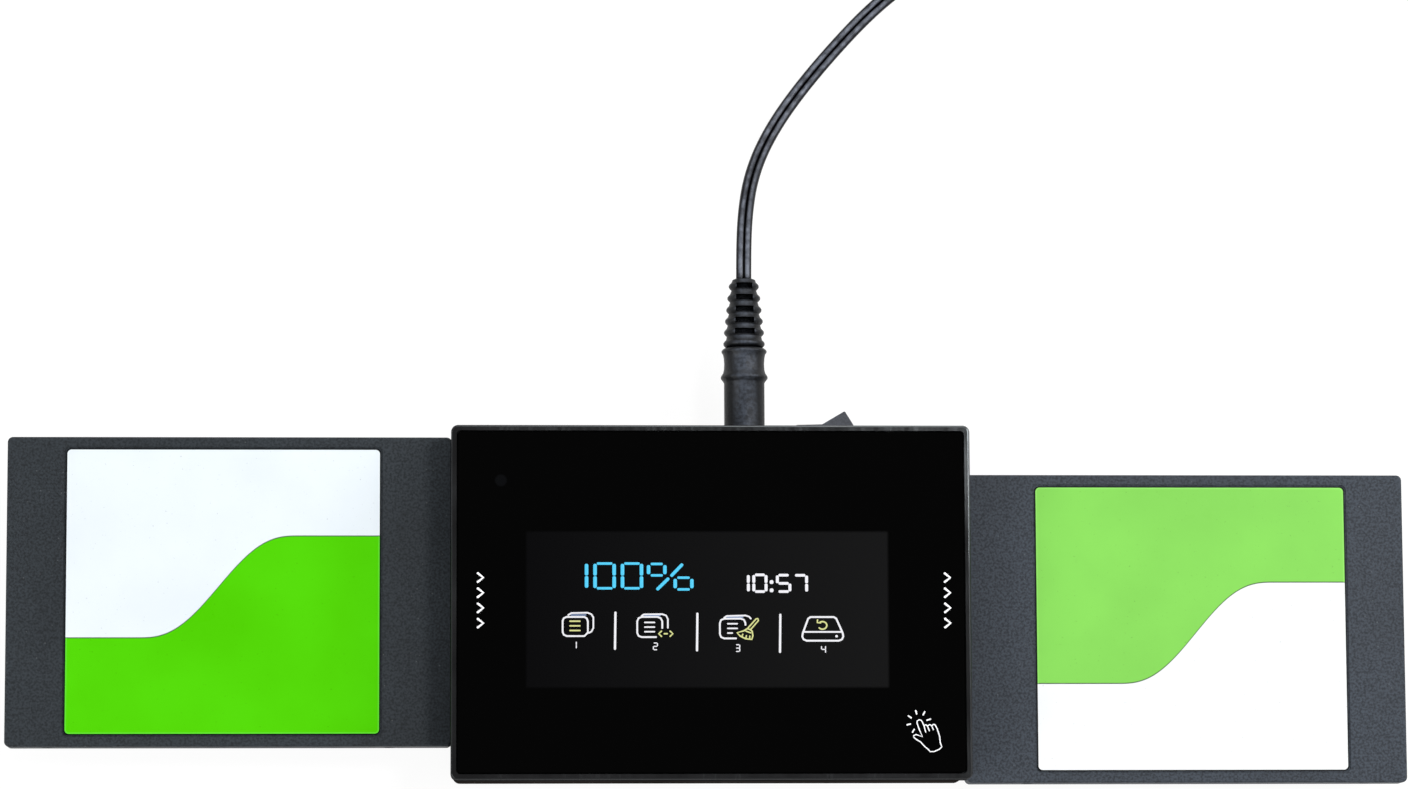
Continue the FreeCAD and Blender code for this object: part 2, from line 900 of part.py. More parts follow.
def socket(name, side, socket_y):
    """side is the sign of X on which the drive lies. The far drive is the same drive turned round."""
    outward = measure(side)
    slot_clear = 0.22
    nose_end = side_face + size.drive_gap + size.nose_reach
    nose_start = side_face - size.case_wall - 0.2
    nose = box(
        nose_end - nose_start,
        size.nose_width,
        size.nose_height,
        x=outward * (nose_end + nose_start) / 2,
        y=socket_y,
        z=tongue_level - size.nose_height / 2,
    )
    flange = box(
        size.socket_depth,
        size.nose_width + 6.0,
        size.nose_height / 2 + tongue_level - board_top,
        x=outward * (nose_start - size.socket_depth / 2),
        y=socket_y,
        z=board_top,
    )
    slots = []
    slot_depth = tongue_reach + 0.8
    for centre, width, _, key_side in tongues:
        slot_x = outward * (nose_end - slot_depth / 2)
        slots.append(
            box(
                slot_depth,
                width + 2 * slot_clear,
                tongue_thickness + 2 * slot_clear + 2 * contact_thickness,
                x=slot_x,
                y=socket_y + side * centre,
                z=tongue_level - tongue_thickness / 2 - slot_clear,
            )
        )
        key_y = socket_y + side * (centre + key_side * (width - key_width) / 2)
        slots.append(
            box(
                slot_depth,
                key_width + 2 * slot_clear,
                key_drop + slot_clear,
                x=slot_x,
                y=key_y,
                z=tongue_level - tongue_thickness / 2 - key_drop - slot_clear,
            )
        )
    node(cut(join(nose, flange), *slots), f"{name}_socket")
    # a contact is a blade against the slot's roof and a foot soldered behind the flange
    blades = []
    roof = tongue_level + tongue_thickness / 2 + slot_clear + contact_thickness
    back_of_flange = nose_start - size.socket_depth
    for across in way_places():
        blades.append(
            box(
                slot_depth - 0.6,
                0.7,
                contact_thickness,
                x=outward * (nose_end - slot_depth / 2 - 0.3),
                y=socket_y + side * across,
                z=roof,
            )
        )
    for across in way_places():
        blades.append(
            box(
                1.6,
                0.5,
                0.3,
                x=outward * (back_of_flange - 0.8),
                y=socket_y + side * across,
                z=board_top,
            )
        )
    node(group(*blades), f"{name}_socket_contacts")


socket("source", -1, size.source_socket_y)
socket("target", 1, size.target_socket_y)


# ---------------------------------------------------------------- power jack

jack_depth = 14.0
jack_body_width = 9.0
jack_inner_face = rear_face - size.case_wall - 0.2
jack_base_height = size.plug_height - board_top
jack_body = box(
    jack_body_width,
    jack_depth,
    jack_base_height + 4.3,
    x=size.plug_x,
    y=jack_inner_face - jack_depth / 2,
    z=board_top,
)
jack_nose = rod(
    size.jack_nose_radius,
    size.case_wall + 0.2 + 1.0,
    x=size.plug_x,
    y=jack_inner_face - 1.0,
    z=size.plug_height,
    along="+Y",
)
jack_bore = rod(
    size.jack_bore_radius,
    size.jack_bore_depth,
    x=size.plug_x,
    y=rear_face,
    z=size.plug_height,
    along="-Y",
)
node(cut(join(jack_body, jack_nose), jack_bore), "power_jack")
pin_length = size.jack_bore_depth - 1.5
pin_start = rear_face - size.jack_bore_depth
pin_shaft = rod(size.jack_pin_radius, pin_length, size.plug_x, pin_start, size.plug_height, "+Y")
pin_tip = cone(
    size.jack_pin_radius,
    size.jack_pin_radius * 0.5,
    0.7,
    size.plug_x,
    pin_start + pin_length,
    size.plug_height,
    "+Y",
)
node(join(pin_shaft, pin_tip), "power_jack_pin")
tab_back = jack_inner_face - jack_depth
tab = box(3.0, 0.5, 4.6, x=size.plug_x, y=tab_back - 0.25, z=board_top)
node(group(tab), "power_jack_tab")


# ---------------------------------------------------------------- rocker switch

# A snap-in switch. The frame is a bezel on the rear wall with a well behind it. The rocker turns on two
# stubs in the well's floor and roof, so its axis is upright.
switch_frame = body("switch_frame")
switch_centre = {"across": size.switch_x, "up": size.switch_height}
bezel_face = rear_face + size.bezel_thickness
bezel = sketch(switch_frame, "XZ_Plane", level=rear_face, **switch_centre)
rectangle(bezel, size.bezel_width, size.bezel_height, 1.0)
pad(switch_frame, bezel, size.bezel_thickness, reverse=True)
round_edges(switch_frame, 0.4, lambda p: near(p.y, bezel_face.number), "Chamfer")
switch_case = sketch(switch_frame, "XZ_Plane", level=rear_face, **switch_centre)
rectangle(switch_case, size.switch_body_width, size.switch_body_height)
pad(switch_frame, switch_case, size.switch_body_depth)
well_depth = size.switch_body_depth + size.bezel_thickness - 2.5
well = sketch(switch_frame, "XZ_Plane", level=bezel_face, **switch_centre)
rectangle(well, size.switch_well, size.rocker_height + 0.4)
pocket(switch_frame, well, well_depth, reverse=True)
pivot_y = rear_face - size.pivot_depth
stub_clearance = 0.05
pivot_hole = sketch(
    switch_frame, across=size.switch_x, up=pivot_y, level=size.switch_height
)
circle(pivot_hole, size.pivot_radius + stub_clearance)
pocket(switch_frame, pivot_hole, size.rocker_height + 1.8, both_ways=True)

# The rocker's outline is a shallow V on a rounded foot, drawn level and then turned to the state in
# which its target side stands out.
rocker = body("switch_rocker")
rocker_reach = 5.75
face_slope = math.radians(14.6)
valley = size.pivot_depth + 1.87
peak = valley + rocker_reach * math.tan(face_slope)
shoulder = (6.75, 1.8)
hip = (6.9, 0.0)
keel = (3.6, -2.4)
rocker_outline = sketch(rocker, level=-size.rocker_height / 2)
polygon(
    rocker_outline,
    [
        (0, valley),
        (-rocker_reach, peak),
        (-shoulder[0], shoulder[1]),
        (-hip[0], hip[1]),
        (-keel[0], keel[1]),
        keel,
        hip,
        shoulder,
        (rocker_reach, peak),
    ],
)
pad(rocker, rocker_outline, size.rocker_height)
stub_length = size.rocker_height + 1.6
pad(rocker, circle(sketch(rocker), size.pivot_radius), stub_length, both_ways=True)
round_edges(
    rocker,
    0.3,
    lambda p: near(abs(p.x), rocker_reach) and near(p.y, peak.number),
)
bind(rocker, "Placement.Base.x", size.switch_x)
bind(rocker, "Placement.Base.y", pivot_y)
bind(rocker, "Placement.Base.z", size.switch_height)
rocker.Placement.Rotation = FreeCAD.Rotation(FreeCAD.Vector(0, 0, 1), size.rocker_tilt.number)
bind(rocker, "Placement.Rotation.Angle", size.rocker_tilt)

terminal_spacing = 7.0
terminal_length = 7.5
terminal_y = rear_face - size.switch_body_depth - terminal_length / 2
terminals = [
    cut(
        box(
            0.8,
            terminal_length,
            4.8,
            x=size.switch_x + sign * terminal_spacing / 2,
            y=terminal_y,
            z=size.switch_height - 2.4,
        ),
        rod(
            0.8,
            2.0,
            x=size.switch_x + sign * terminal_spacing / 2 - 1.0,
            y=terminal_y - 1.8,
            z=size.switch_height,
            along="+X",
        ),
    )
    for sign in (-1, 1)
]
node(group(*terminals), "switch_terminals")


# ---------------------------------------------------------------- round runs with tangent bends


def bent_tube(points, radius, report_as=None):
    """A tube of straight runs joined by tangent arcs, each arc as large as its two runs allow."""
    places = [FreeCAD.Vector(*p) for p in points]
    edges, here, radii = [], places[0], []
    for before, corner, after in zip(places, places[1:], places[2:]):
        inward, outward = (before - corner), (after - corner)
        run = min(inward.Length, outward.Length)
        inward.normalize()
        outward.normalize()
        turn = math.pi - inward.getAngle(outward)
        setback = 0.45 * run
        bend = setback / math.tan(turn / 2)
        radii.append(bend)
        start, end = corner + inward * setback, corner + outward * setback
        middle_way = (inward + outward).normalize()
        middle = corner + middle_way * (bend / math.cos(turn / 2) - bend)
        edges.append(Part.LineSegment(here, start).toShape())
        edges.append(Part.Arc(start, middle, end).toShape())
        here = end
    edges.append(Part.LineSegment(here, places[-1]).toShape())
    path = Part.Wire(edges)
    facing = places[1] - places[0]
    section = Part.Wire([Part.Circle(places[0], facing, radius).toShape()])
    solid = path.makePipeShell([section], True, False)
    share = solid.Volume / (math.pi * radius**2 * path.Length)
    if report_as:
        print(report_as, "length", round(path.Length, 1), "volume share", round(share, 4))
        print(report_as, "bend radii", [round(r, 1) for r in radii])
    if abs(share - 1) > 0.01:
        raise RuntimeError(f"the tube {report_as} has the wrong volume")
    return solid


def shaped(label, *solids):
    """A node whose shape is made directly, from sizes read off the sheet."""
    made = doc.addObject("Part::Feature", label)
    made.Shape = solids[0] if len(solids) == 1 else Part.makeCompound(list(solids))
    made.Placement = FreeCAD.Placement()
    return node(made, label)


# two insulated wires from the switch's blades down to pads on the board
wire_radius = 0.8
wire_end_y = (terminal_y - terminal_length / 2).number
wires = []
for sign in (-1, 1):
    x = size.switch_x.number + sign * terminal_spacing / 2
    top = size.switch_height.number
    pad_level = board_top.number
    wires.append(
        bent_tube(
            [
                (x, wire_end_y, top),
                (x, wire_end_y - 6.5, top),
                (x, wire_end_y - 6.5, pad_level),
            ],
            wire_radius,
            "switch wire",
        )
    )
shaped("switch_wires", *wires)


# ---------------------------------------------------------------- feet and fasteners

feet = []
for x, y in boss_places:
    feet.append(
        join(
            cone(size.foot_radius - 0.5, size.foot_radius, 0.5, x, y, 0),
            rod(size.foot_radius, size.foot_height + size.foot_recess - 0.5, x, y, 0.5),
        )
    )
node(group(*feet), "rubber_feet")


def screw(x, y, head_under, shank_radius, length, head_r, head_h, upwards=True):
    """A pan-head screw with a straight slot across its head."""
    way = 1 if upwards else -1
    head_level = head_under - head_h if upwards else head_under
    slot_level = head_level if upwards else head_under + head_h - 0.7
    head = rod(head_r, head_h, x, y, head_level)
    shank = rod(shank_radius, length, x, y, head_under, "+Z") if upwards else rod(
        shank_radius, length, x, y, head_under - length
    )
    return cut(join(head, shank), box(head_r * 2.2, 0.7, 0.7, x, y, slot_level))


case_screws = [
    screw(x, y, head_recess_top, size.screw_radius, size.screw_length, size.head_radius, size.head_height)
    for x, y in boss_places
]
node(group(*case_screws), "case_screws")
board_screws = [
    screw(x, y, board_top, board_screw_radius - 0.02, 3.6, size.standoff_radius * 0.85, 1.4, False)
    for x, y in standoff_places
]
node(group(*board_screws), "board_screws")


# ---------------------------------------------------------------- drives


class Spot:
    """A drive's own place: its connector end is at x = 0, its middle at y = 0 and its underside at z = 0."""

    def __init__(self, name, turn, x, y):
        self.name = name
        self.turn = turn
        self.x = x
        self.y = y

    def finish(self, thing, piece):
        node(thing, f"{self.name}_{piece}")
        place(thing, self.x, self.y, size.drive_underside, self.turn)
        return thing


def drive(spot):
    half_length, half_width = size.drive_length / 2, size.drive_width / 2
    centre = {"across": half_length, "up": 0}
    opening_width = size.nose_width + 2 * size.nose_clearance
    opening_top = size.tongue_height + size.nose_height / 2 + size.nose_clearance
    hole_near, hole_far = 14.0, 90.6
    hole_middle = (hole_near + hole_far) / 2
    hole_spacing_x, hole_spacing_y = hole_far - hole_near, 61.72
    hole_radius = 1.25
    plug_depth = 4.6
    plug_start = size.nose_reach + 0.9
    board_start = plug_start + plug_depth
    board_level = 2.0
    post_places = [(board_start + 44.0, side * 22.0) for side in (-1, 1)]

    # the lower shell: a tray with threaded bosses on its floor and in its side walls
    base = doc.addObject("PartDesign::Body", f"{spot.name}_base")
    pad(
        base,
        rectangle(sketch(base, **centre), size.drive_length, size.drive_width, size.drive_corner),
        size.drive_parting,
    )
    pocket(
        base,
        rectangle(
            sketch(base, level=size.drive_parting, **centre),
            size.drive_length - 2 * size.drive_wall,
            size.drive_width - 2 * size.drive_wall,
        ),
        size.drive_parting - size.drive_skin,
    )
    bosses = four_circles(
        sketch(base, across=hole_middle, level=size.drive_skin / 2), hole_spacing_x, hole_spacing_y, 3.0
    )
    pad(base, bosses, size.drive_parting - size.drive_skin)
    holes = four_circles(
        sketch(base, across=hole_middle, level=3.5), hole_spacing_x, hole_spacing_y, hole_radius
    )
    pocket(base, holes, 3.5)
    for post_x, post_y in post_places:
        post = sketch(base, across=post_x, up=post_y, level=size.drive_skin / 2)
        pad(base, circle(post, 2.4), board_level - size.drive_skin / 2)
        post_hole = sketch(base, across=post_x, up=post_y, level=board_level)
        pocket(base, circle(post_hole, 1.0), 1.3)
    for side in (-1, 1):
        for hole_x in (hole_near, hole_far):
            drilling = sketch(
                base, "XZ_Plane", across=hole_x, up=3.0, level=side * (half_width - 1.2)
            )
            pocket(base, circle(drilling, 1.25), 2.4, both_ways=True)
    mouth = sketch(
        base, "YZ_Plane", across=size.connector_offset, up=size.drive_skin + 4.0, level=0
    )
    pocket(base, rectangle(mouth, opening_width, 8.0), size.drive_wall * 2.5, both_ways=True)
    round_edges(base, 0.4, lambda p: near(p.z, 0) and not inside_holes(p, half_length, half_width), "Chamfer")
    spot.finish(base, "base")

    # the upper shell: a shallow lid with a recess for the label
    cover = doc.addObject("PartDesign::Body", f"{spot.name}_cover")
    pad(
        cover,
        rectangle(
            sketch(cover, level=size.drive_parting, **centre),
            size.drive_length,
            size.drive_width,
            size.drive_corner,
        ),
        size.drive_height - size.drive_parting,
    )
    round_edges(cover, 0.35, lambda p: near(p.z, size.drive_height.number), "Chamfer")
    label_centre = {"across": size.label_start + size.label_length / 2, "up": 0}
    label_gap = 0.4
    pocket(
        cover,
        rectangle(
            sketch(cover, level=size.drive_height, **label_centre),
            size.label_length + 2 * label_gap,
            size.label_width + 2 * label_gap,
            1.2,
        ),
        size.label_recess,
    )
    lid_underside = size.drive_height - size.drive_skin
    pocket(
        cover,
        rectangle(
            sketch(cover, level=lid_underside, **centre),
            size.drive_length - 2 * size.drive_wall,
            size.drive_width - 2 * size.drive_wall,
        ),
        lid_underside - size.drive_parting,
    )
    lid_mouth = sketch(
        cover,
        "YZ_Plane",
        across=size.connector_offset,
        up=(size.drive_parting + opening_top) / 2,
        level=0,
    )
    pocket(
        cover,
        rectangle(lid_mouth, opening_width, opening_top - size.drive_parting),
        size.drive_wall * 2.5,
        both_ways=True,
    )
    spot.finish(cover, "cover")

    # the label lies in its recess and stands a hair below the lid's face
    label = doc.addObject("PartDesign::Body", f"{spot.name}_label")
    pad(
        label,
        rectangle(
            sketch(label, level=size.drive_height - size.label_recess, **label_centre),
            size.label_length,
            size.label_width,
            1.0,
        ),
        size.label_recess - 0.05,
    )
    spot.finish(label, "label")

    # the board carries the plug at its edge and stops well short of the outer end
    carrier_length = 52.0
    carrier = cut(
        box(
            carrier_length,
            size.drive_width - 2 * size.drive_wall - 11.0,
            1.0,
            x=board_start + carrier_length / 2,
            z=board_level,
        ),
        *[rod(1.1, 3.0, x=x, y=y, z=1.5) for x, y in post_places],
    )
    spot.finish(carrier, "board")
    screws = [
        join(rod(1.9, 0.8, x=x, y=y, z=board_level + 1.0), rod(0.97, 2.2, x=x, y=y, z=board_level - 1.2))
        for x, y in post_places
    ]
    spot.finish(group(*screws), "board_screws")
    chips = [box(14.0, 14.0, 1.2, x=board_start + 13.0, y=-6.0, z=board_level + 1.0)]
    for chip_y in (-18.0, 0.0, 18.0):
        chips.append(box(14.0, 12.0, 1.0, x=board_start + 32.0, y=chip_y, z=board_level + 1.0))
    spot.finish(group(*chips), "chips")

    # the plug: a block across the board's edge with two keyed tongues towards the mouth
    block = box(
        plug_depth,
        size.nose_width + 3.0,
        lid_underside - size.drive_skin - 0.2,
        x=plug_start + plug_depth / 2,
        y=size.connector_offset,
        z=size.drive_skin + 0.1,
    )
    tongue_start = plug_start - tongue_reach
    solids = [block]
    for across, width, _, key_side in tongues:
        solids.append(
            box(
                tongue_reach,
                width,
                tongue_thickness,
                x=tongue_start + tongue_reach / 2,
                y=size.connector_offset + across,
                z=size.tongue_height - tongue_thickness / 2,
            )
        )
        solids.append(
            box(
                tongue_reach,
                key_width,
                key_drop + tongue_thickness / 2,
                x=tongue_start + tongue_reach / 2,
                y=size.connector_offset + across + key_side * (width - key_width) / 2,
                z=size.tongue_height - tongue_thickness / 2 - key_drop,
            )
        )
    spot.finish(join(*solids), "plug")
    contacts = [
        box(
            tongue_reach - 0.4,
            0.8,
            contact_thickness,
            x=plug_start - (tongue_reach - 0.4) / 2,
            y=size.connector_offset + across,
            z=size.tongue_height + tongue_thickness / 2,
        )
        for across in way_places()
    ]
    spot.finish(group(*contacts), "contacts")


def inside_holes(point, half_length, half_width):
    """Whether a point on the underside lies in from the outer edge, as the screw holes' rims do."""
    return (
        abs(point.x - half_length.number) < half_length.number - 2
        and abs(point.y) < half_width.number - 1
    )


drive_start = side_face + size.drive_gap
drive(Spot("target_drive", 0, drive_start, size.target_socket_y - size.connector_offset))
drive(Spot("source_drive", 180, -drive_start, size.source_socket_y + size.connector_offset))


# ---------------------------------------------------------------- power plug

plug_face = rear_face + size.plug_gap
plug_at = {"x": size.plug_x, "z": size.plug_height}
first_collar_y = rear_face + size.first_collar
second_collar_y = rear_face + size.second_collar


def plug_rod(radius, start, length):
    return rod(radius, length, y=start, along="+Y", **plug_at)


def plug_cone(start_radius, end_radius, start, length):
    return cone(start_radius, end_radius, length, y=start, along="+Y", **plug_at)


def bead(radius, middle_y, half):
    """A raised ring with sloping flanks round the plug's axis."""
    root = radius - 0.75
    return [
        plug_cone(root, radius, middle_y - half, half),
        plug_cone(radius, root, middle_y, half),
    ]


barrel_start = plug_face - size.barrel_length
barrel_tube = cut(
    plug_rod(size.barrel_radius, barrel_start, size.barrel_length + 1.0),
    plug_rod(size.barrel_bore + 0.4, barrel_start - 1.0, size.barrel_length + 3.0),
)
node(barrel_tube, "plug_barrel")
insulator = cut(
    plug_rod(size.barrel_bore + 0.4, barrel_start + 0.4, size.barrel_length + 0.6),
    plug_rod(size.barrel_bore, barrel_start - 1.0, size.barrel_length + 1.5),
)
node(insulator, "plug_insulator")

# the grip, its two collars and the ringed strain relief are one moulding
relief_start = second_collar_y + 0.8
ring_count = 6
ring_pitch = size.relief_length / ring_count
first_ring = 0.34
core_root = size.relief_root_radius - 0.95
core_tip = size.relief_tip_radius - 0.95
moulding = [
    plug_rod(size.grip_radius, plug_face, size.second_collar - size.plug_gap),
    plug_cone(core_root, core_tip, relief_start - 0.8, size.relief_length + 0.8),
    *bead(size.collar_radius, first_collar_y, 0.9),
    *bead(size.collar_radius - 0.2, second_collar_y, 0.9),
]
slots = []
for ring in range(ring_count):
    share = ring / (ring_count - 1)
    ring_radius = size.relief_root_radius * (1 - share) + size.relief_tip_radius * share
    ring_y = relief_start + ring_pitch * (ring + first_ring)
    moulding += bead(ring_radius, ring_y, 0.95)
    # every ring but the first is slotted above and below, so that the relief bends
    if ring > 0:
        for way in (-1, 1):
            slot_middle = size.plug_height + way * ring_radius
            slots.append(box(4.6 - 0.9 * share, 1.1, 2.4, size.plug_x, ring_y, slot_middle - 1.2))
seat = plug_rod(size.barrel_radius, plug_face - 1.0, 2.0)
node(cut(join(*moulding), seat, *slots), "plug_grip")


# ---------------------------------------------------------------- cord, coil and tie

cord_radius = size.cord_radius.number
coil_radius = size.coil_radius.number
relief_end = (relief_start + size.relief_length).number
coil_x, coil_y = 42.4, 173.0
tie_thickness = 0.8
coil_bottom = tie_thickness + 0.1
desk_level = cord_radius + 0.05
# where the cord meets the coil, a little inside its outer face
meeting = coil_radius + size.coil_width.number / 2 - 1.2
arrive_angle, leave_angle = math.radians(-40), math.radians(140)
arrival = (
    coil_x + meeting * math.cos(arrive_angle),
    coil_y + meeting * math.sin(arrive_angle),
    desk_level,
)
departure = (
    coil_x + meeting * math.cos(leave_angle),
    coil_y + meeting * math.sin(leave_angle),
    desk_level,
)
adapter_exit = (-20.0, 165.0, 8.0)

run_points = [
    (size.plug_x.number, relief_end, size.plug_height.number),
    (8.3, 81.6, 14.0),
    (8.8, 90.4, 12.1),
    (10.3, 99.1, 7.8),
    (13.6, 107.9, 3.8),
    (19.2, 117.3, desk_level),
    (28.0, 128.4, desk_level),
    (39.6, 140.9, desk_level),
    (50.6, 149.2, desk_level),
    arrival,
]
shaped("cord_run", bent_tube(run_points, cord_radius, "cord run"))
tail_points = [
    departure,
    (17.4, 179.8, 1.9),
    (9.4, 172.0, 3.3),
    (-0.4, 166.9, 5.9),
    (-10.5, adapter_exit[1], adapter_exit[2]),
    adapter_exit,
]
shaped("cord_tail", bent_tube(tail_points, cord_radius, "cord tail"))

# the spare cord lies in a flat coil, held by one tie whose band passes round the whole bundle
coil = body("cord_coil")
coil_outline = sketch(
    coil, "XZ_Plane", across=size.coil_radius, up=size.coil_height / 2 + coil_bottom
)
bevelled(coil_outline, size.coil_width, size.coil_height, 2.0)
revolve(coil, coil_outline)
tie = body("coil_tie")
tie_outline = sketch(
    tie, "XZ_Plane", across=size.coil_radius, up=size.coil_height / 2 + coil_bottom
)
band_width = size.coil_width + 2 * tie_thickness
band_height = size.coil_height + 2 * tie_thickness
bevelled(tie_outline, band_width, band_height, 2.0 + tie_thickness / 2)
bevelled(tie_outline, size.coil_width, size.coil_height, 2.0)
revolve(tie, tie_outline, turn=9)
tie_angle = 205
for wound in (coil, tie):
    wound.Placement = FreeCAD.Placement(
        FreeCAD.Vector(coil_x, coil_y, 0),
        FreeCAD.Rotation(FreeCAD.Vector(0, 0, 1), tie_angle),
    )


# ---------------------------------------------------------------- wall adapter

# It lies on its long side. The cord leaves one end through a short relief, and the two flat blades
# stand on the face that turns to the wall.
exit_x, exit_y, exit_z = adapter_exit
relief_length = 14.0
relief_parts = [cone(3.6, 2.7, relief_length, exit_x - relief_length, exit_y, exit_z, "+X")]
for i in range(3):
    ring_x = exit_x - relief_length + 1.8 + i * 4.0
    relief_parts.append(rod(4.0 - 0.35 * i, 1.8, ring_x, exit_y, exit_z, "+X"))
node(join(*relief_parts), "adapter_relief")

case_end = exit_x - relief_length
case_middle_x = case_end - size.adapter_length / 2
face_thickness = 4.0
face_level = exit_y + size.adapter_depth / 2 - face_thickness
adapter = body("adapter_case")
shell_outline = sketch(
    adapter, "XZ_Plane", across=case_middle_x, up=size.adapter_height / 2, level=face_level
)
rectangle(shell_outline, size.adapter_length, size.adapter_height, 5.0)
shell_depth = size.adapter_depth - face_thickness
pad(adapter, shell_outline, shell_depth)
shell_front = (face_level - shell_depth).number
round_edges(adapter, 3.0, lambda p: near(p.y, shell_front))
hollow = sketch(
    adapter, "XZ_Plane", across=case_middle_x, up=size.adapter_height / 2, level=face_level
)
rectangle(hollow, size.adapter_length - 4.4, size.adapter_height - 4.4)
pocket(adapter, hollow, shell_depth - 2.5, reverse=True)

# the face plate carries a raised land round the blades and a lip inside the shell
plate = body("adapter_face")
plate_outline = sketch(
    plate, "XZ_Plane", across=case_middle_x, up=size.adapter_height / 2, level=face_level
)
rectangle(plate_outline, size.adapter_length, size.adapter_height, 5.0)
pad(plate, plate_outline, face_thickness - 1.0, reverse=True)
plate_edge = (face_level + face_thickness - 1.0).number
round_edges(plate, 0.8, lambda p: near(p.y, plate_edge), "Chamfer")
blade_x = case_end - size.adapter_length + 18.0
land = sketch(
    plate,
    "XZ_Plane",
    across=blade_x,
    up=size.adapter_height / 2,
    level=face_level + face_thickness - 1.0,
)
pad(plate, rectangle(land, 24.0, 26.0, 3.0), 1.0, reverse=True)
lip = sketch(plate, "XZ_Plane", across=case_middle_x, up=size.adapter_height / 2, level=face_level)
rectangle(lip, size.adapter_length - 4.8, size.adapter_height - 4.8)
rectangle(lip, size.adapter_length - 8.0, size.adapter_height - 8.0)
pad(plate, lip, 2.0)

# two flat blades, each with the usual hole near its tip
blade_width, blade_thickness, blade_length, blade_spacing = 6.35, 1.5, 17.0, 12.7
hole_from_face = 11.7
blade_root = face_level + face_thickness
blades = [
    cut(
        box(
            blade_width,
            blade_length,
            blade_thickness,
            x=blade_x,
            y=blade_root + blade_length / 2,
            z=size.adapter_height / 2 + side * blade_spacing / 2 - blade_thickness / 2,
        ),
        rod(
            1.6,
            4.0,
            x=blade_x,
            y=blade_root + hole_from_face,
            z=size.adapter_height / 2 + side * blade_spacing / 2 - 2.0,
        ),
    )
    for side in (-1, 1)
]
node(group(*blades), "adapter_blades")


# ---------------------------------------------------------------- checks and export

doc.recompute()
for made in doc.Objects:
    if "Invalid" in made.State or "Error" in made.State:
        raise RuntimeError(f"{made.Label} did not recompute: {made.State}")
for piece in nodes:
    if piece.Shape.isNull() or not piece.Shape.isValid() or piece.Shape.Volume <= 0:
        raise RuntimeError(f"{piece.Label} has no sound shape")
names = [piece.Label for piece in nodes]
if len(set(names)) != len(names):
    raise RuntimeError("two pieces share a name")
os.makedirs("parts", exist_ok=True)
for piece in nodes:
    piece.Shape.exportStep(f"parts/{piece.Label}.step")
print(len(nodes), "pieces written")
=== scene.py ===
import math

import bpy
from mathutils import Matrix, Vector


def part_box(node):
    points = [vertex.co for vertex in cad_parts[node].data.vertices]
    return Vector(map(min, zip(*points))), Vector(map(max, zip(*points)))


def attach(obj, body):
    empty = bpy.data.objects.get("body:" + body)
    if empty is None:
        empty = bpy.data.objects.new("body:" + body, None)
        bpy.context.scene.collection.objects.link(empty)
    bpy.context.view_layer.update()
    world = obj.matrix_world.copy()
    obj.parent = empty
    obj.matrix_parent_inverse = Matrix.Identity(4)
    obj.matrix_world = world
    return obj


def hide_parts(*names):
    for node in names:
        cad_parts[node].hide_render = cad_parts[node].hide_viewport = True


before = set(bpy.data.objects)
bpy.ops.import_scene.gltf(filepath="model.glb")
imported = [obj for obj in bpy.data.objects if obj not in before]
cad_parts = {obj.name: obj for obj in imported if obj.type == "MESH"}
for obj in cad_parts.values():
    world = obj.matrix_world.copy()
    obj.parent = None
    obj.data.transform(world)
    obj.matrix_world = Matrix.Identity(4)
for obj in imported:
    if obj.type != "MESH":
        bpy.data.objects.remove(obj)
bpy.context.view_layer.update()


# ---------------------------------------------------------------- table top, light and camera
# The duplicator lies on a plain white table and is looked at from high above its front edge. Soft light
# comes in from all sides, and the ceiling over it is dark, so the glass stays black.

def plain_material(name, colour, roughness=0.5, metallic=0.0, sheen=0.5):
    """A new material with its shader's own sockets set. sheen is how much it mirrors: 0.5 is bare plastic.
    Returns the material, its node tree and shader."""
    made = bpy.data.materials.new(name)
    made.use_nodes = True
    tree = made.node_tree
    shader = tree.nodes["Principled BSDF"]
    shader.inputs["Base Color"].default_value = (*colour, 1.0)
    shader.inputs["Roughness"].default_value = roughness
    shader.inputs["Metallic"].default_value = metallic
    shader.inputs["Specular IOR Level"].default_value = sheen
    return made, tree, shader


def wire(tree, out_node, out_name, in_node, in_name):
    tree.links.new(out_node.outputs[out_name], in_node.inputs[in_name])


def feed(tree, socket, value):
    """Gives a socket its value, which is a plain one or another node's output."""
    if isinstance(value, bpy.types.NodeSocket):
        tree.links.new(value, socket)
    else:
        socket.default_value = value


def worked_out(tree, operation, first, second):
    """What a sum of two values comes to."""
    node = tree.nodes.new("ShaderNodeMath")
    node.operation = operation
    feed(tree, node.inputs[0], first)
    feed(tree, node.inputs[1], second)
    return node.outputs[0]


# the table shines a little by itself where it is seen or mirrored, and lights the pieces as plain paint
GLOW_SHARE = 0.84
bpy.ops.object.select_all(action="DESELECT")
bpy.ops.mesh.primitive_plane_add(size=6.0, location=(0, 0, 0))
table_top = bpy.context.object
table_top.name = "table_top"
table_paint, tree, shader = plain_material("white_table", (0.9, 0.9, 0.9), 0.7)
ray = tree.nodes.new("ShaderNodeLightPath")
seen_rays = worked_out(tree, "MAXIMUM", ray.outputs["Is Camera Ray"], ray.outputs["Is Glossy Ray"])
seen_rays = worked_out(tree, "MAXIMUM", seen_rays, ray.outputs["Is Transmission Ray"])
glow = tree.nodes.new("ShaderNodeEmission")
glow.inputs["Color"].default_value = (1, 1, 1, 1)
glow.inputs["Strength"].default_value = 1.06
blend_in = tree.nodes.new("ShaderNodeMixShader")
feed(tree, blend_in.inputs[0], worked_out(tree, "MULTIPLY", seen_rays, GLOW_SHARE))
tree.links.new(shader.outputs["BSDF"], blend_in.inputs[1])
tree.links.new(glow.outputs["Emission"], blend_in.inputs[2])
wire(tree, blend_in, 0, tree.nodes["Material Output"], "Surface")
table_top.data.materials.append(table_paint)

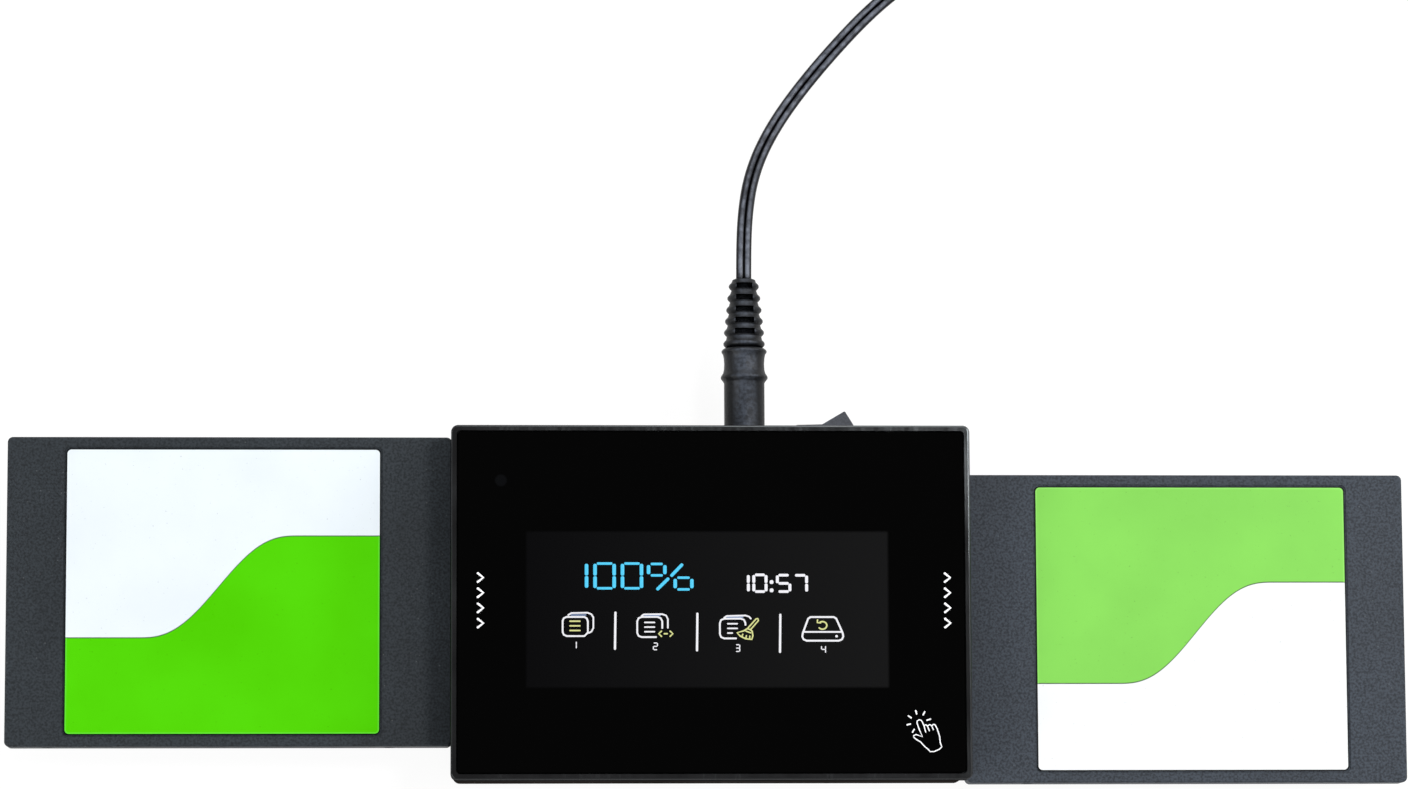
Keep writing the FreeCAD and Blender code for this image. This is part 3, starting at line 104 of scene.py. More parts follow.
# the room: bright walls that fall off towards a dark ceiling
room = bpy.data.worlds.new("room")
bpy.context.scene.world = room
room.use_nodes = True
room_tree = room.node_tree
direction = room_tree.nodes.new("ShaderNodeTexCoord")
parts = room_tree.nodes.new("ShaderNodeSeparateXYZ")
room_tree.links.new(direction.outputs["Generated"], parts.inputs["Vector"])
fall = room_tree.nodes.new("ShaderNodeValToRGB")
room_tree.links.new(parts.outputs["Z"], fall.inputs["Fac"])
fall.color_ramp.elements[0].position = 0.80
fall.color_ramp.elements[0].color = (0.95, 0.95, 0.95, 1)
fall.color_ramp.elements[1].position = 0.97
fall.color_ramp.elements[1].color = (0.02, 0.02, 0.02, 1)
room_light = room_tree.nodes["Background"]
room_tree.links.new(fall.outputs["Color"], room_light.inputs["Color"])
room_light.inputs["Strength"].default_value = 0.75

LAMPS = [
    ("left_panel", (-0.9, -0.5, 0.75), 0.7, 7.0),
    ("right_panel", (1.0, 0.4, 0.8), 0.7, 7.0),
    ("rear_panel", (0.1, 1.1, 0.8), 0.7, 5.0),
    ("top_panel", (0.46, 0.25, 1.15), 0.24, 5.0),
]
for lamp_name, place, side, power in LAMPS:
    lamp = bpy.data.lights.new(lamp_name, "AREA")
    lamp.shape = "SQUARE"
    lamp.size = side
    lamp.energy = power
    holder = bpy.data.objects.new(lamp_name, lamp)
    bpy.context.scene.collection.objects.link(holder)
    holder.location = place
    holder.rotation_mode = "QUATERNION"
    holder.rotation_quaternion = (-Vector(place)).to_track_quat("-Z", "Y")

lens = bpy.data.cameras.new("camera")
lens.sensor_width = 36.0
lens.lens = 136.46
lens.clip_start = 0.05
lens.clip_end = 20.0
camera = bpy.data.objects.new("camera", lens)
bpy.context.scene.collection.objects.link(camera)
lean = Matrix.Rotation(0.1257, 4, "X") @ Matrix.Rotation(-0.0463, 4, "Y") @ Matrix.Rotation(0.0018, 4, "Z")
camera.matrix_world = Matrix.Translation((-0.0570, -0.10348, 1.216)) @ lean
bpy.context.scene.camera = camera
bpy.context.scene.view_settings.view_transform = "Standard"


# ---------------------------------------------------------------- lower case
# A deep tub injection-moulded in black plastic. Its outside has a satin face, with the faint waviness
# and hair scratches of a handled part.

def spot_noise(tree, scale, detail=3.0, stretch=(1, 1, 1)):
    """Noise in the piece's own coordinates, in metres. stretch lengthens it along the small axes."""
    place = tree.nodes.new("ShaderNodeTexCoord")
    turn = tree.nodes.new("ShaderNodeMapping")
    turn.inputs["Scale"].default_value = stretch
    noise = tree.nodes.new("ShaderNodeTexNoise")
    noise.inputs["Scale"].default_value = scale
    noise.inputs["Detail"].default_value = detail
    wire(tree, place, "Object", turn, "Vector")
    wire(tree, turn, "Vector", noise, "Vector")
    return noise.outputs["Fac"]


def between(tree, driver, low, high, from_low=0.3, from_high=0.7):
    """A number that runs from low to high as the driver does from from_low to from_high."""
    spread = tree.nodes.new("ShaderNodeMapRange")
    spread.inputs["From Min"].default_value = from_low
    spread.inputs["From Max"].default_value = from_high
    spread.inputs["To Min"].default_value = low
    spread.inputs["To Max"].default_value = high
    tree.links.new(driver, spread.inputs["Value"])
    return spread.outputs["Result"]


def between_colours(tree, driver, low, high, from_low=0.35, from_high=0.65):
    """The same between two colours."""
    ramp = tree.nodes.new("ShaderNodeValToRGB")
    ramp.color_ramp.elements[0].position = from_low
    ramp.color_ramp.elements[0].color = (*low, 1)
    ramp.color_ramp.elements[1].position = from_high
    ramp.color_ramp.elements[1].color = (*high, 1)
    tree.links.new(driver, ramp.inputs["Fac"])
    return ramp.outputs["Color"]


def blended(tree, share, under, over, way="MIX"):
    """The colour over on the colour under. share is how much of it there is."""
    mix = tree.nodes.new("ShaderNodeMix")
    mix.data_type = "RGBA"
    mix.blend_type = way
    feed(tree, mix.inputs["Factor"], share)
    feed(tree, mix.inputs["A"], under)
    feed(tree, mix.inputs["B"], over)
    return mix.outputs["Result"]


def raised(tree, shader, height, strength, distance):
    """Relief on the shader from a height. Further calls lie on top of the relief already there."""
    relief = tree.nodes.new("ShaderNodeBump")
    relief.inputs["Strength"].default_value = strength
    relief.inputs["Distance"].default_value = distance
    tree.links.new(height, relief.inputs["Height"])
    if shader.inputs["Normal"].links:
        tree.links.new(shader.inputs["Normal"].links[0].from_socket, relief.inputs["Normal"])
    wire(tree, relief, "Normal", shader, "Normal")


def polished_plastic(name, colour, roughness, sheen=0.5):
    """Gloss plastic: a smooth face with faint waves and fine hair scratches in its gloss."""
    made, tree, shader = plain_material(name, colour, roughness, sheen=sheen)
    smear = spot_noise(tree, 90.0, 4.0)
    hair = spot_noise(tree, 900.0, 2.0, (1.0, 0.06, 1.0))
    both = worked_out(tree, "MULTIPLY", smear, hair)
    gloss = between(tree, both, roughness * 0.75, roughness * 1.6, 0.15, 0.4)
    tree.links.new(gloss, shader.inputs["Roughness"])
    tint = between_colours(tree, smear, [c * 0.85 for c in colour], [c * 1.2 for c in colour])
    tree.links.new(tint, shader.inputs["Base Color"])
    raised(tree, shader, smear, 0.12, 0.0002)
    return made


def grained_plastic(name, colour, roughness, grain, depth, shade=0.2, sheen=0.5, pit_tone=0.62):
    """Moulded plastic with a spark-eroded grain: grain is how many pits there are per metre, and
    pit_tone how light the bottoms of the pits are."""
    made, tree, shader = plain_material(name, colour, roughness, sheen=sheen)
    pits = spot_noise(tree, grain, 3.0)
    broad = spot_noise(tree, 45.0, 3.0)
    tint = between_colours(tree, broad, [c * (1 - shade) for c in colour], [c * (1 + shade) for c in colour])
    fleck = between_colours(tree, pits, [pit_tone] * 3, (1, 1, 1), 0.36, 0.6)
    tree.links.new(blended(tree, 0.8, tint, fleck, "MULTIPLY"), shader.inputs["Base Color"])
    rough = between(tree, broad, roughness * 0.88, roughness * 1.12)
    tree.links.new(rough, shader.inputs["Roughness"])
    raised(tree, shader, pits, 0.55, depth)
    return made


def face_height(tree):
    """How far a face looks up: 1 on a level top, 0 on a wall."""
    face = tree.nodes.new("ShaderNodeNewGeometry")
    parts = tree.nodes.new("ShaderNodeSeparateXYZ")
    wire(tree, face, "Normal", parts, "Vector")
    return parts.outputs["Z"]


def painted_light_by_form(tree, shader, top, reach, grain, sheen):
    """A painted highlight of the colour top on a soft black piece where its face turns up, broken by grain
    pits per metre. Hollows get painted shade and go dull: reach is how near their walls stand, in metres."""
    # painted highlight: the colour lightens where the face turns up towards the light
    painted_highlight = between_colours(tree, face_height(tree), (0, 0, 0), top, 0.75, 1.0)
    pits = between_colours(tree, spot_noise(tree, grain, 3.0), [0.45] * 3, [1.5] * 3, 0.36, 0.64)
    pitted_highlight = blended(tree, 1.0, painted_highlight, pits, "MULTIPLY")
    hollow = tree.nodes.new("ShaderNodeAmbientOcclusion")
    hollow.samples = 12
    hollow.inputs["Distance"].default_value = reach
    openness = hollow.outputs["AO"]
    # painted shade: the colour goes dark in hollows, where little light reaches, and their gloss drops
    depth = between_colours(tree, openness, (0.02, 0.02, 0.02), (1, 1, 1), 0.5, 0.92)
    tree.links.new(between(tree, openness, 0.0, sheen, 0.5, 0.92), shader.inputs["Specular IOR Level"])
    colour = shader.inputs["Base Color"]
    highlighted = blended(tree, 1.0, colour.links[0].from_socket, pitted_highlight, "ADD")
    tree.links.new(blended(tree, 1.0, highlighted, depth, "MULTIPLY"), colour)


def dress(material, *node_names):
    """Gives CAD nodes their finished material."""
    for node_name in node_names:
        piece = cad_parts[node_name]
        for holder in piece.material_slots:
            holder.material = material


case_black = polished_plastic("case_satin_black", (0.019, 0.016, 0.0145), 0.45, sheen=0.0)
dress(case_black, "bottom_housing")


# ---------------------------------------------------------------- feet and case screws
# Four soft rubber feet are glued into round recesses in the tub's floor. Each hides the plated head of a
# case screw, which goes up through its boss. The board's screws are of the same kind.

def soft_rubber(name, colour):
    made, tree, shader = plain_material(name, colour, 0.8)
    grime = spot_noise(tree, 260.0, 5.0)
    tint = between_colours(tree, grime, [c * 0.7 for c in colour], [c * 1.8 for c in colour])
    tree.links.new(tint, shader.inputs["Base Color"])
    tree.links.new(between(tree, grime, 0.65, 0.95), shader.inputs["Roughness"])
    raised(tree, shader, grime, 0.5, 0.00008)
    return made


def turned_metal(name, colour, roughness, grain_scale=1500.0):
    """Plated or bare metal with fine streaks across it."""
    made, tree, shader = plain_material(name, colour, roughness, 1.0)
    streaks = spot_noise(tree, grain_scale, 3.0, (0.08, 1.0, 1.0))
    tint = between_colours(tree, streaks, [c * 0.82 for c in colour], [min(1, c * 1.08) for c in colour])
    tree.links.new(tint, shader.inputs["Base Color"])
    gloss = between(tree, streaks, roughness * 0.7, roughness * 1.4)
    tree.links.new(gloss, shader.inputs["Roughness"])
    raised(tree, shader, streaks, 0.2, 0.00002)
    return made


foot_rubber = soft_rubber("foot_rubber", (0.02, 0.02, 0.021))
dress(foot_rubber, "rubber_feet")
screw_zinc = turned_metal("screw_zinc", (0.56, 0.56, 0.53), 0.32)
dress(screw_zinc, "case_screws", "board_screws")


# ---------------------------------------------------------------- main board and its parts
# A green four-layer board stands on the tub's posts. Its chips are moulded black packages, the cans are
# bare aluminium, and the chokes are pressed ferrite.

def circuit_board(name):
    """Solder resist over copper: the tracks show as a lighter green maze with tinned pads."""
    made, tree, shader = plain_material(name, (0.012, 0.12, 0.045), 0.35)
    place = tree.nodes.new("ShaderNodeTexCoord")
    bricks = tree.nodes.new("ShaderNodeTexBrick")
    bricks.inputs["Scale"].default_value = 190.0
    bricks.inputs["Mortar Size"].default_value = 0.06
    bricks.inputs["Color1"].default_value = (0.010, 0.11, 0.040, 1)
    bricks.inputs["Color2"].default_value = (0.014, 0.15, 0.055, 1)
    bricks.inputs["Mortar"].default_value = (0.03, 0.24, 0.09, 1)
    wire(tree, place, "Object", bricks, "Vector")
    pads = tree.nodes.new("ShaderNodeTexVoronoi")
    pads.inputs["Scale"].default_value = 240.0
    wire(tree, place, "Object", pads, "Vector")
    tinned = between(tree, pads.outputs["Distance"], 1.0, 0.0, 0.12, 0.16)
    tracks = blended(tree, tinned, bricks.outputs["Color"], (0.62, 0.60, 0.54, 1))
    tree.links.new(tracks, shader.inputs["Base Color"])
    raised(tree, shader, bricks.outputs["Fac"], 0.3, 0.00003)
    return made


board_green = circuit_board("board_green_resist")
dress(board_green, "main_board", "source_drive_board", "target_drive_board")
chip_black = grained_plastic("chip_moulding", (0.022, 0.022, 0.024), 0.6, 5200.0, 0.00002)
dress(chip_black, "processor", "memory_chips", "buzzer", "source_drive_chips", "target_drive_chips")
sink_metal = turned_metal("heat_sink_anodised", (0.5, 0.52, 0.55), 0.38)
dress(sink_metal, "heat_sink")
can_metal = turned_metal("capacitor_can", (0.72, 0.72, 0.74), 0.26, 900.0)
dress(can_metal, "capacitors", "clock_crystal")
ferrite = grained_plastic("choke_ferrite", (0.06, 0.058, 0.058), 0.7, 3000.0, 0.00005)
dress(ferrite, "inductors")
lamp_lens = polished_plastic("lamp_lens", (0.72, 0.78, 0.72), 0.15)
dress(lamp_lens, "status_light")


# ---------------------------------------------------------------- display stack
# A pressed aluminium tray holds the back light and the dark display panel. The touch sensor lies on it,
# and an amber film ribbon folds down to its connector on the board.

tray_metal = turned_metal("display_tray", (0.7, 0.7, 0.71), 0.3, 700.0)
dress(tray_metal, "display_backlight")
panel_dark = polished_plastic("panel_glass", (0.03, 0.03, 0.034), 0.08)
dress(panel_dark, "display_panel", "touch_sensor")
ribbon_amber = polished_plastic("ribbon_film", (0.58, 0.3, 0.06), 0.3)
dress(ribbon_amber, "display_ribbon")


# ---------------------------------------------------------------- upper case
# A shallow frame in the same black, which stands out a little over the tub. Its rim is polished, and it
# mirrors more towards the rear right, a painted reflection of the light from there. Its sides are satin.

rim_black = polished_plastic("rim_gloss_black", (0.011, 0.011, 0.0115), 0.2)
tree = rim_black.node_tree
place = tree.nodes.new("ShaderNodeTexCoord")
# 0 in the middle of the frame, 1 at the middle of its rear edge, and more towards the rear right corner
toward_rear = tree.nodes.new("ShaderNodeVectorMath")
toward_rear.operation = "DOT_PRODUCT"
toward_rear.inputs[1].default_value = (6.0, 25.2, 0)
wire(tree, place, "Object", toward_rear, 0)
on_top = between(tree, face_height(tree), 0.0, 1.0, 0.1, 0.6)
# painted reflection: the rim mirrors more towards the rear right corner, where the light comes from
painted_rear_reflection = between(tree, toward_rear.outputs["Value"], 0.22, 1.0, 0.5, 1.15)
shader = tree.nodes["Principled BSDF"]
tree.links.new(worked_out(tree, "MULTIPLY", on_top, painted_rear_reflection), shader.inputs["Specular IOR Level"])
shader.inputs["Specular Tint"].default_value = (0.88, 0.96, 1.0, 1.0)
dress(rim_black, "top_housing")


# ---------------------------------------------------------------- cover glass
# Toughened glass glued on the ledge. Its back is printed black, and the window over the display is
# only a shade lighter, most so at its right end. The print leaves a pinhole over the lamp.

WINDOW = {"left": -0.0414, "right": 0.03955, "front": -0.0192, "rear": 0.0157}
GLASS_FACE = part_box("cover_glass")[1].z
lamp_low, lamp_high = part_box("status_light")
LAMP_SPOT = (lamp_low.xy + lamp_high.xy) / 2
PRINT_BLACK = (0.0009, 0.0009, 0.0009)
glass_black, tree, shader = plain_material("glass_black_print", PRINT_BLACK, 0.035)
place = tree.nodes.new("ShaderNodeTexCoord")
axes = tree.nodes.new("ShaderNodeSeparateXYZ")
wire(tree, place, "Object", axes, "Vector")


def inside_band(tree, value, low, high, soft=0.0003):
    """1 where a coordinate lies between low and high, else 0."""
    rise = between(tree, value, 0.0, 1.0, low - soft, low + soft)
    drop = between(tree, value, 1.0, 0.0, high - soft, high + soft)
    return worked_out(tree, "MULTIPLY", rise, drop)


across = inside_band(tree, axes.outputs["X"], WINDOW["left"], WINDOW["right"])
along = inside_band(tree, axes.outputs["Y"], WINDOW["front"], WINDOW["rear"])
pane = worked_out(tree, "MULTIPLY", across, along)
reach = between(tree, axes.outputs["X"], 0.0, 1.0, WINDOW["left"], WINDOW["right"])
lit = between_colours(tree, reach, (0.0024, 0.0024, 0.0027), (0.0068, 0.0068, 0.0070), 0.0, 1.0)
print_tone = blended(tree, pane, (*PRINT_BLACK, 1), lit)
to_spot = tree.nodes.new("ShaderNodeVectorMath")
to_spot.operation = "DISTANCE"
to_spot.inputs[1].default_value = (*LAMP_SPOT, GLASS_FACE)
wire(tree, place, "Object", to_spot, 0)
spot_share = between(tree, to_spot.outputs["Value"], 1.0, 0.0, 0.0011, 0.0015)
spotted = blended(tree, spot_share, print_tone, (0.0028, 0.003, 0.0034, 1))
tree.links.new(spotted, shader.inputs["Base Color"])
tree.links.new(between(tree, spot_noise(tree, 60.0, 5.0), 0.02, 0.06), shader.inputs["Roughness"])
dress(glass_black, "cover_glass")


# ---------------------------------------------------------------- what the display shows
# Lit figures and plain line symbols, a hair thick, on the face of the glass: a blue figure for the
# progress, a white clock, and a symbol for each of the jobs, with thin white bars between them.

# how far all of the ink lies from the places below, in millimetres
PRINT_SHIFT = Vector((-0.15, 0.28))


def lit_ink(name, colour):
    """Ink that glows by itself, with the faint unevenness of a lit panel's dots."""
    made, tree, shader = plain_material(name, (0, 0, 0), 0.4)
    dots = spot_noise(tree, 3500.0, 2.0)
    shade = between_colours(tree, dots, [c * 0.88 for c in colour], colour)
    tree.links.new(shade, shader.inputs["Emission Color"])
    shader.inputs["Emission Strength"].default_value = 1.0
    return made


def choose(*pieces):
    """Selects these pieces and nothing else, with the first one active."""
    bpy.ops.object.select_all(action="DESELECT")
    for piece in pieces:
        piece.select_set(True)
    bpy.context.view_layer.objects.active = pieces[0]


def inked(name, strokes, material):
    """Strokes of ink on the glass as one thin mesh. A stroke is its width and a run of places in
    millimetres. A run that ends where it began is closed, and any other has rounded ends."""
    curve = bpy.data.curves.new(name, "CURVE")
    curve.dimensions = "3D"
    curve.bevel_depth = 0.001
    curve.bevel_resolution = 1
    curve.use_fill_caps = True
    for width, run in strokes:
        half = width / 2
        places = [Vector(place) + PRINT_SHIFT for place in run]
        knots = [(place, half) for place in places]
        closed = (places[0] - places[-1]).length < 0.001
        if closed:
            knots.pop()
        else:
            before = (places[0] - places[1]).normalized() * half
            beyond = (places[-1] - places[-2]).normalized() * half
            for reach, thickness in ((0.5, 0.87), (0.87, 0.5)):
                knots.insert(0, (places[0] + before * reach, half * thickness))
                knots.append((places[-1] + beyond * reach, half * thickness))
        spline = curve.splines.new("POLY")
        spline.points.add(len(knots) - 1)
        for point, (place, radius) in zip(spline.points, knots):
            point.co = (place.x / 1000, place.y / 1000, GLASS_FACE, 1.0)
            point.radius = radius
        spline.use_cyclic_u = closed
    drawn = bpy.data.objects.new(name, curve)
    bpy.context.scene.collection.objects.link(drawn)
    choose(drawn)
    bpy.ops.object.convert(target="MESH")
    piece = bpy.context.object
    bpy.ops.object.mode_set(mode="EDIT")
    bpy.ops.mesh.select_all(action="SELECT")
    bpy.ops.transform.resize(value=(1, 1, 0.06), center_override=(0, 0, GLASS_FACE))
    bpy.ops.mesh.normals_make_consistent(inside=False)
    bpy.ops.object.mode_set(mode="OBJECT")
    piece.data.materials.clear()
    piece.data.materials.append(material)
    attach(piece, "case")
    return piece


# the seven bars of a figure as pairs of corners of a 1 by 2 grid
BARS = {
    "top": ((0, 2), (1, 2)),
    "middle": ((0, 1), (1, 1)),
    "foot": ((0, 0), (1, 0)),
    "upper_left": ((0, 1), (0, 2)),
    "upper_right": ((1, 1), (1, 2)),
    "lower_left": ((0, 0), (0, 1)),
    "lower_right": ((1, 0), (1, 1)),
}
FIGURES = {
    "0": ("top", "foot", "upper_left", "upper_right", "lower_left", "lower_right"),
    "1": ("upper_right", "lower_right"),
    "2": ("top", "upper_right", "middle", "lower_left", "foot"),
    "3": ("top", "upper_right", "middle", "lower_right", "foot"),
    "4": ("upper_left", "middle", "upper_right", "lower_right"),
    "5": ("top", "upper_left", "middle", "lower_right", "foot"),
    "7": ("top", "upper_right", "lower_right"),
}


def figure(digit, left, foot, wide, tall, upright, level):
    """The strokes of one seven-bar figure: upright and level are its bars' widths."""
    strokes = []
    for bar in FIGURES[digit]:
        (x0, y0), (x1, y1) = BARS[bar]
        start = Vector((left + x0 * wide, foot + y0 * tall / 2))
        end = Vector((left + x1 * wide, foot + y1 * tall / 2))
        is_level = y0 == y1
        short = (end - start).normalized() * (upright * 0.78 if is_level else upright * 0.53)
        strokes.append((level if is_level else upright, (start + short, end - short)))
    return strokes


progress_blue = lit_ink("progress_blue", (0.07, 0.66, 1.0))
figure_white = lit_ink("figure_white", (0.95, 0.95, 1.0))
symbol_white = lit_ink("symbol_white", (0.94, 0.94, 0.98))
symbol_shadow = lit_ink("symbol_shadow", (0.22, 0.30, 0.50))
symbol_lime = lit_ink("symbol_lime", (0.73, 0.76, 0.29))

progress = figure("1", -32.0, 2.75, 4.2, 5.5, 0.8, 0.56)
progress += figure("0", -25.9, 2.7, 4.27, 5.55, 0.81, 0.56)
progress += figure("0", -19.77, 2.7, 4.25, 5.55, 0.81, 0.56)
for left, foot, right, top in ((-13.93, 5.6, -10.28, 8.16), (-7.98, 2.45, -4.25, 5.08)):
    for x in (left, right):
        progress.append((0.8, ((x, foot + 0.62), (x, top - 0.62))))
    for y in (foot, top):
        progress.append((0.56, ((left + 0.72, y), (right - 0.72, y))))
progress += [(0.72, ((-8.75, 5.6), (-6.5, 7.95))), (0.72, ((-11.9, 2.55), (-9.6, 4.8)))]
inked("progress_figures", progress, progress_blue)

clock = figure("1", 5.7, 1.97, 2.7, 3.75, 0.68, 0.6)
clock += figure("0", 9.62, 1.97, 2.74, 3.75, 0.68, 0.6)
clock += [(0.88, ((13.6, y - 0.04), (13.6, y + 0.04))) for y in (2.25, 4.1)]
clock += figure("5", 14.9, 1.97, 2.8, 3.68, 0.67, 0.6)
clock += figure("7", 18.6, 1.92, 2.85, 3.7, 0.68, 0.6)
inked("clock_figures", clock, figure_white)


def page_lines(left, right, top, short=0.0):
    """Three lines of writing on a sheet. short is how much is missing from the last."""
    return [(0.34, ((left, top - i * 1.04), (right - short * (i == 2), top - i * 1.04))) for i in range(3)]


# copy: one sheet on another
symbols = [
    (0.4, (
        (-32.3, -3.72), (-28.3, -3.72), (-27.75, -4.05), (-27.52, -4.7), (-27.52, -7.2), (-28.3, -8.0),
        (-32.2, -8.0), (-32.9, -7.7), (-33.15, -7.1), (-33.15, -4.6), (-32.9, -4.0), (-32.3, -3.72),
    )),
    (0.37, (
        (-31.9, -3.3), (-31.2, -2.85), (-27.6, -2.78), (-26.75, -3.1), (-26.3, -3.8), (-26.3, -6.2),
        (-26.7, -6.95), (-27.3, -7.3),
    )),
]
# compare: two sheets with a double arrow in front
symbols += [
    (0.4, (
        (-10.9, -6.2), (-10.9, -4.7), (-11.25, -4.0), (-12.0, -3.7), (-15.5, -3.72), (-16.2, -4.0),
        (-16.5, -4.7), (-16.5, -7.3), (-16.2, -7.95), (-15.5, -8.23), (-12.3, -8.23),
    )),
    (0.37, ((-15.5, -3.5), (-15.0, -3.15), (-10.9, -3.1), (-10.05, -3.4), (-9.65, -4.2), (-9.65, -6.15))),
    *page_lines(-14.8, -12.65, -4.95),
]
# erase: two sheets with a broom in front
symbols += [
    (0.4, (
        (7.7, -5.5), (7.68, -5.0), (7.35, -4.35), (6.6, -4.1), (3.0, -4.12), (2.25, -4.4), (1.98, -5.1),
        (1.98, -7.6), (2.25, -8.25), (2.95, -8.53), (5.6, -8.53),
    )),
    (0.37, ((2.95, -3.9), (3.5, -3.52), (7.7, -3.4), (8.5, -3.65), (8.9, -4.1))),
    *page_lines(3.75, 5.85, -5.25, short=1.1),
]
# format: a drive seen from its corner
symbols += [
    (0.43, (
        (22.3, -3.75), (27.5, -3.75), (28.05, -4.1), (29.45, -7.3), (29.6, -8.1), (29.3, -8.75),
        (28.6, -9.05), (21.4, -9.05), (20.7, -8.75), (20.4, -8.1), (20.55, -7.3), (21.75, -4.1),
        (22.3, -3.75),
    )),
    (0.37, ((20.9, -7.08), (29.1, -7.08))),
    (0.55, ((28.05, -8.05), (28.15, -8.05))),
]
# the bars between the jobs lean and sink a little to the right, as the whole row does
for x, drop in ((-21.42, 0.0), (-3.1, 0.3), (15.46, 0.6)):
    symbols.append((0.5, ((x + 0.06, -2.75 - drop * 0.8), (x - 0.06, -10.85 - drop * 1.2))))
inked("job_symbols", symbols, symbol_white)
shadows = [
    (0.3, ((-31.2, -3.28), (-28.0, -3.28))),
    (0.3, ((-14.8, -3.43), (-11.4, -3.43))),
    (0.3, ((3.6, -3.8), (7.1, -3.77))),
]
inked("job_shadows", shadows, symbol_shadow)

accents = page_lines(-31.5, -29.3, -4.67)
accents += [
    (0.34, ((-11.1, -6.9), (-11.7, -7.48), (-11.1, -8.06))),
    (0.34, ((-9.15, -6.9), (-8.55, -7.48), (-9.15, -8.06))),
    (0.34, ((-10.45, -7.48), (-9.8, -7.48))),
    (0.33, ((8.3, -6.15), (10.1, -4.15), (10.5, -4.1), (10.6, -4.55), (8.85, -6.55))),
    (0.34, (
        (8.1, -6.35), (7.3, -6.85), (5.8, -7.25), (6.5, -8.0), (7.7, -8.6), (9.1, -8.75), (9.35, -7.9),
        (9.2, -6.95), (8.75, -6.55), (8.1, -6.35),
    )),
    (0.3, ((7.8, -6.9), (8.9, -7.3))),
    (0.3, ((7.1, -7.6), (6.9, -8.05))),
    (0.3, ((7.9, -7.9), (7.8, -8.4))),
    (0.3, ((8.65, -8.0), (8.65, -8.5))),
]
turn_back = [
    (24.95 + 0.98 * math.cos(math.radians(angle)), -5.62 + 0.86 * math.sin(math.radians(angle)))
    for angle in range(-140, 121, 20)
]
accents += [(0.34, turn_back), (0.34, ((23.85, -4.4), (23.8, -5.0), (24.5, -5.05)))]
inked("job_accents", accents, symbol_lime)

captions = []
for number, x, foot in (("1", -31.0, -10.6), ("2", -12.9, -10.9), ("3", 5.5, -11.3), ("4", 24.7, -11.6)):
    captions += figure(number, x, foot - 0.15, 0.9, 1.5, 0.24, 0.24)
inked("job_numbers", captions, figure_white)


# ---------------------------------------------------------------- marks printed on the glass
# Plain white marks printed with the black: a hand that taps in the front corner, and a column of
# arrowheads beside each socket that show which way the data flows.

print_white, tree, shader = plain_material("print_white", (0.9, 0.9, 0.92), 0.35)
speck = spot_noise(tree, 2600.0, 3.0)
print_shade = between_colours(tree, speck, (0.70, 0.71, 0.72), (0.86, 0.86, 0.88))
tree.links.new(print_shade, shader.inputs["Base Color"])
# the print also glows faintly, a painted glow that keeps the white marks bright
tree.links.new(print_shade, shader.inputs["Emission Color"])
shader.inputs["Emission Strength"].default_value = 0.1

tap = [
    (0.28, (
        (46.48, -26.75), (46.0, -27.0), (45.95, -27.45), (46.4, -28.8), (47.15, -30.55), (45.75, -30.05),
        (45.2, -30.25), (45.2, -30.65), (45.7, -31.1), (46.7, -31.7), (47.65, -32.75), (48.4, -33.35),
        (48.85, -33.88), (49.75, -33.85), (50.9, -33.35), (51.45, -32.8), (51.12, -31.9), (51.0, -30.45),
        (50.4, -28.65), (50.0, -27.9), (49.6, -27.8), (49.27, -28.1),
    )),
    (0.27, ((46.48, -26.75), (46.95, -26.9), (47.5, -28.05), (47.89, -29.5))),
    (0.27, ((47.55, -28.05), (47.95, -27.85), (48.28, -28.15), (48.7, -29.2))),
    (0.27, ((48.35, -28.1), (48.85, -27.82), (49.25, -28.15), (49.58, -28.95))),
    (0.36, ((45.7, -24.75), (45.88, -25.45))),
    (0.36, ((47.7, -25.0), (47.35, -25.65))),
    (0.36, ((48.2, -26.85), (48.95, -26.62))),
    (0.36, ((44.05, -25.9), (44.65, -26.3))),
    (0.36, ((43.75, -27.88), (44.45, -27.7))),
    (0.36, ((45.3, -28.9), (44.95, -29.5))),
]
inked("tap_mark", tap, print_white)

for name, x in (("source_mark", -51.45), ("target_mark", 53.1)):
    heads = [(0.55, ((x - 0.6, y + 0.95), (x + 0.6, y), (x - 0.6, y - 0.95))) for y in (5.1, 1.7, -1.7, -5.1)]
    inked(name, heads, print_white)


# ---------------------------------------------------------------- drive sockets and power jack
# Two drive sockets and a round power jack in black glass-filled plastic, soldered to the board. The
# drives' plugs and the ribbon's connector are the same plastic. Contacts are gilt and tabs are tinned.

connector_black = grained_plastic("connector_moulding", (0.02, 0.02, 0.021), 0.55, 4200.0, 0.00003)
dress(
    connector_black,
    "source_socket",
    "target_socket",
    "power_jack",
    "ribbon_connector",
    "source_drive_plug",
    "target_drive_plug",
    "plug_insulator",
)
contact_gold = turned_metal("contact_gold", (0.85, 0.62, 0.26), 0.25)
dress(
    contact_gold,
    "source_socket_contacts",
    "target_socket_contacts",
    "source_drive_contacts",
    "target_drive_contacts",
    "power_jack_pin",
)
tab_tin = turned_metal("solder_tin", (0.66, 0.65, 0.6), 0.35)
dress(tab_tin, "power_jack_tab", "switch_terminals")


# ---------------------------------------------------------------- rocker switch
# A snap-in frame of grained black nylon. The rocker is a smoother, greyer plastic, and its two faces
# meet in a shallow valley.

frame_nylon = grained_plastic("switch_frame_nylon", (0.035, 0.036, 0.038), 0.5, 3200.0, 0.00004)
dress(frame_nylon, "switch_frame")
rocker_grey = grained_plastic("rocker_plastic", (0.070, 0.077, 0.095), 0.38, 2600.0, 0.00002, sheen=0.3)
dress(rocker_grey, "switch_rocker")
wire_jacket = polished_plastic("wire_jacket", (0.42, 0.02, 0.015), 0.35)
dress(wire_jacket, "switch_wires")


# ---------------------------------------------------------------- drives
# Two slim drives. Each shell is two mouldings of slate-grey plastic with an even spark grain and a
# little lint caught in it.

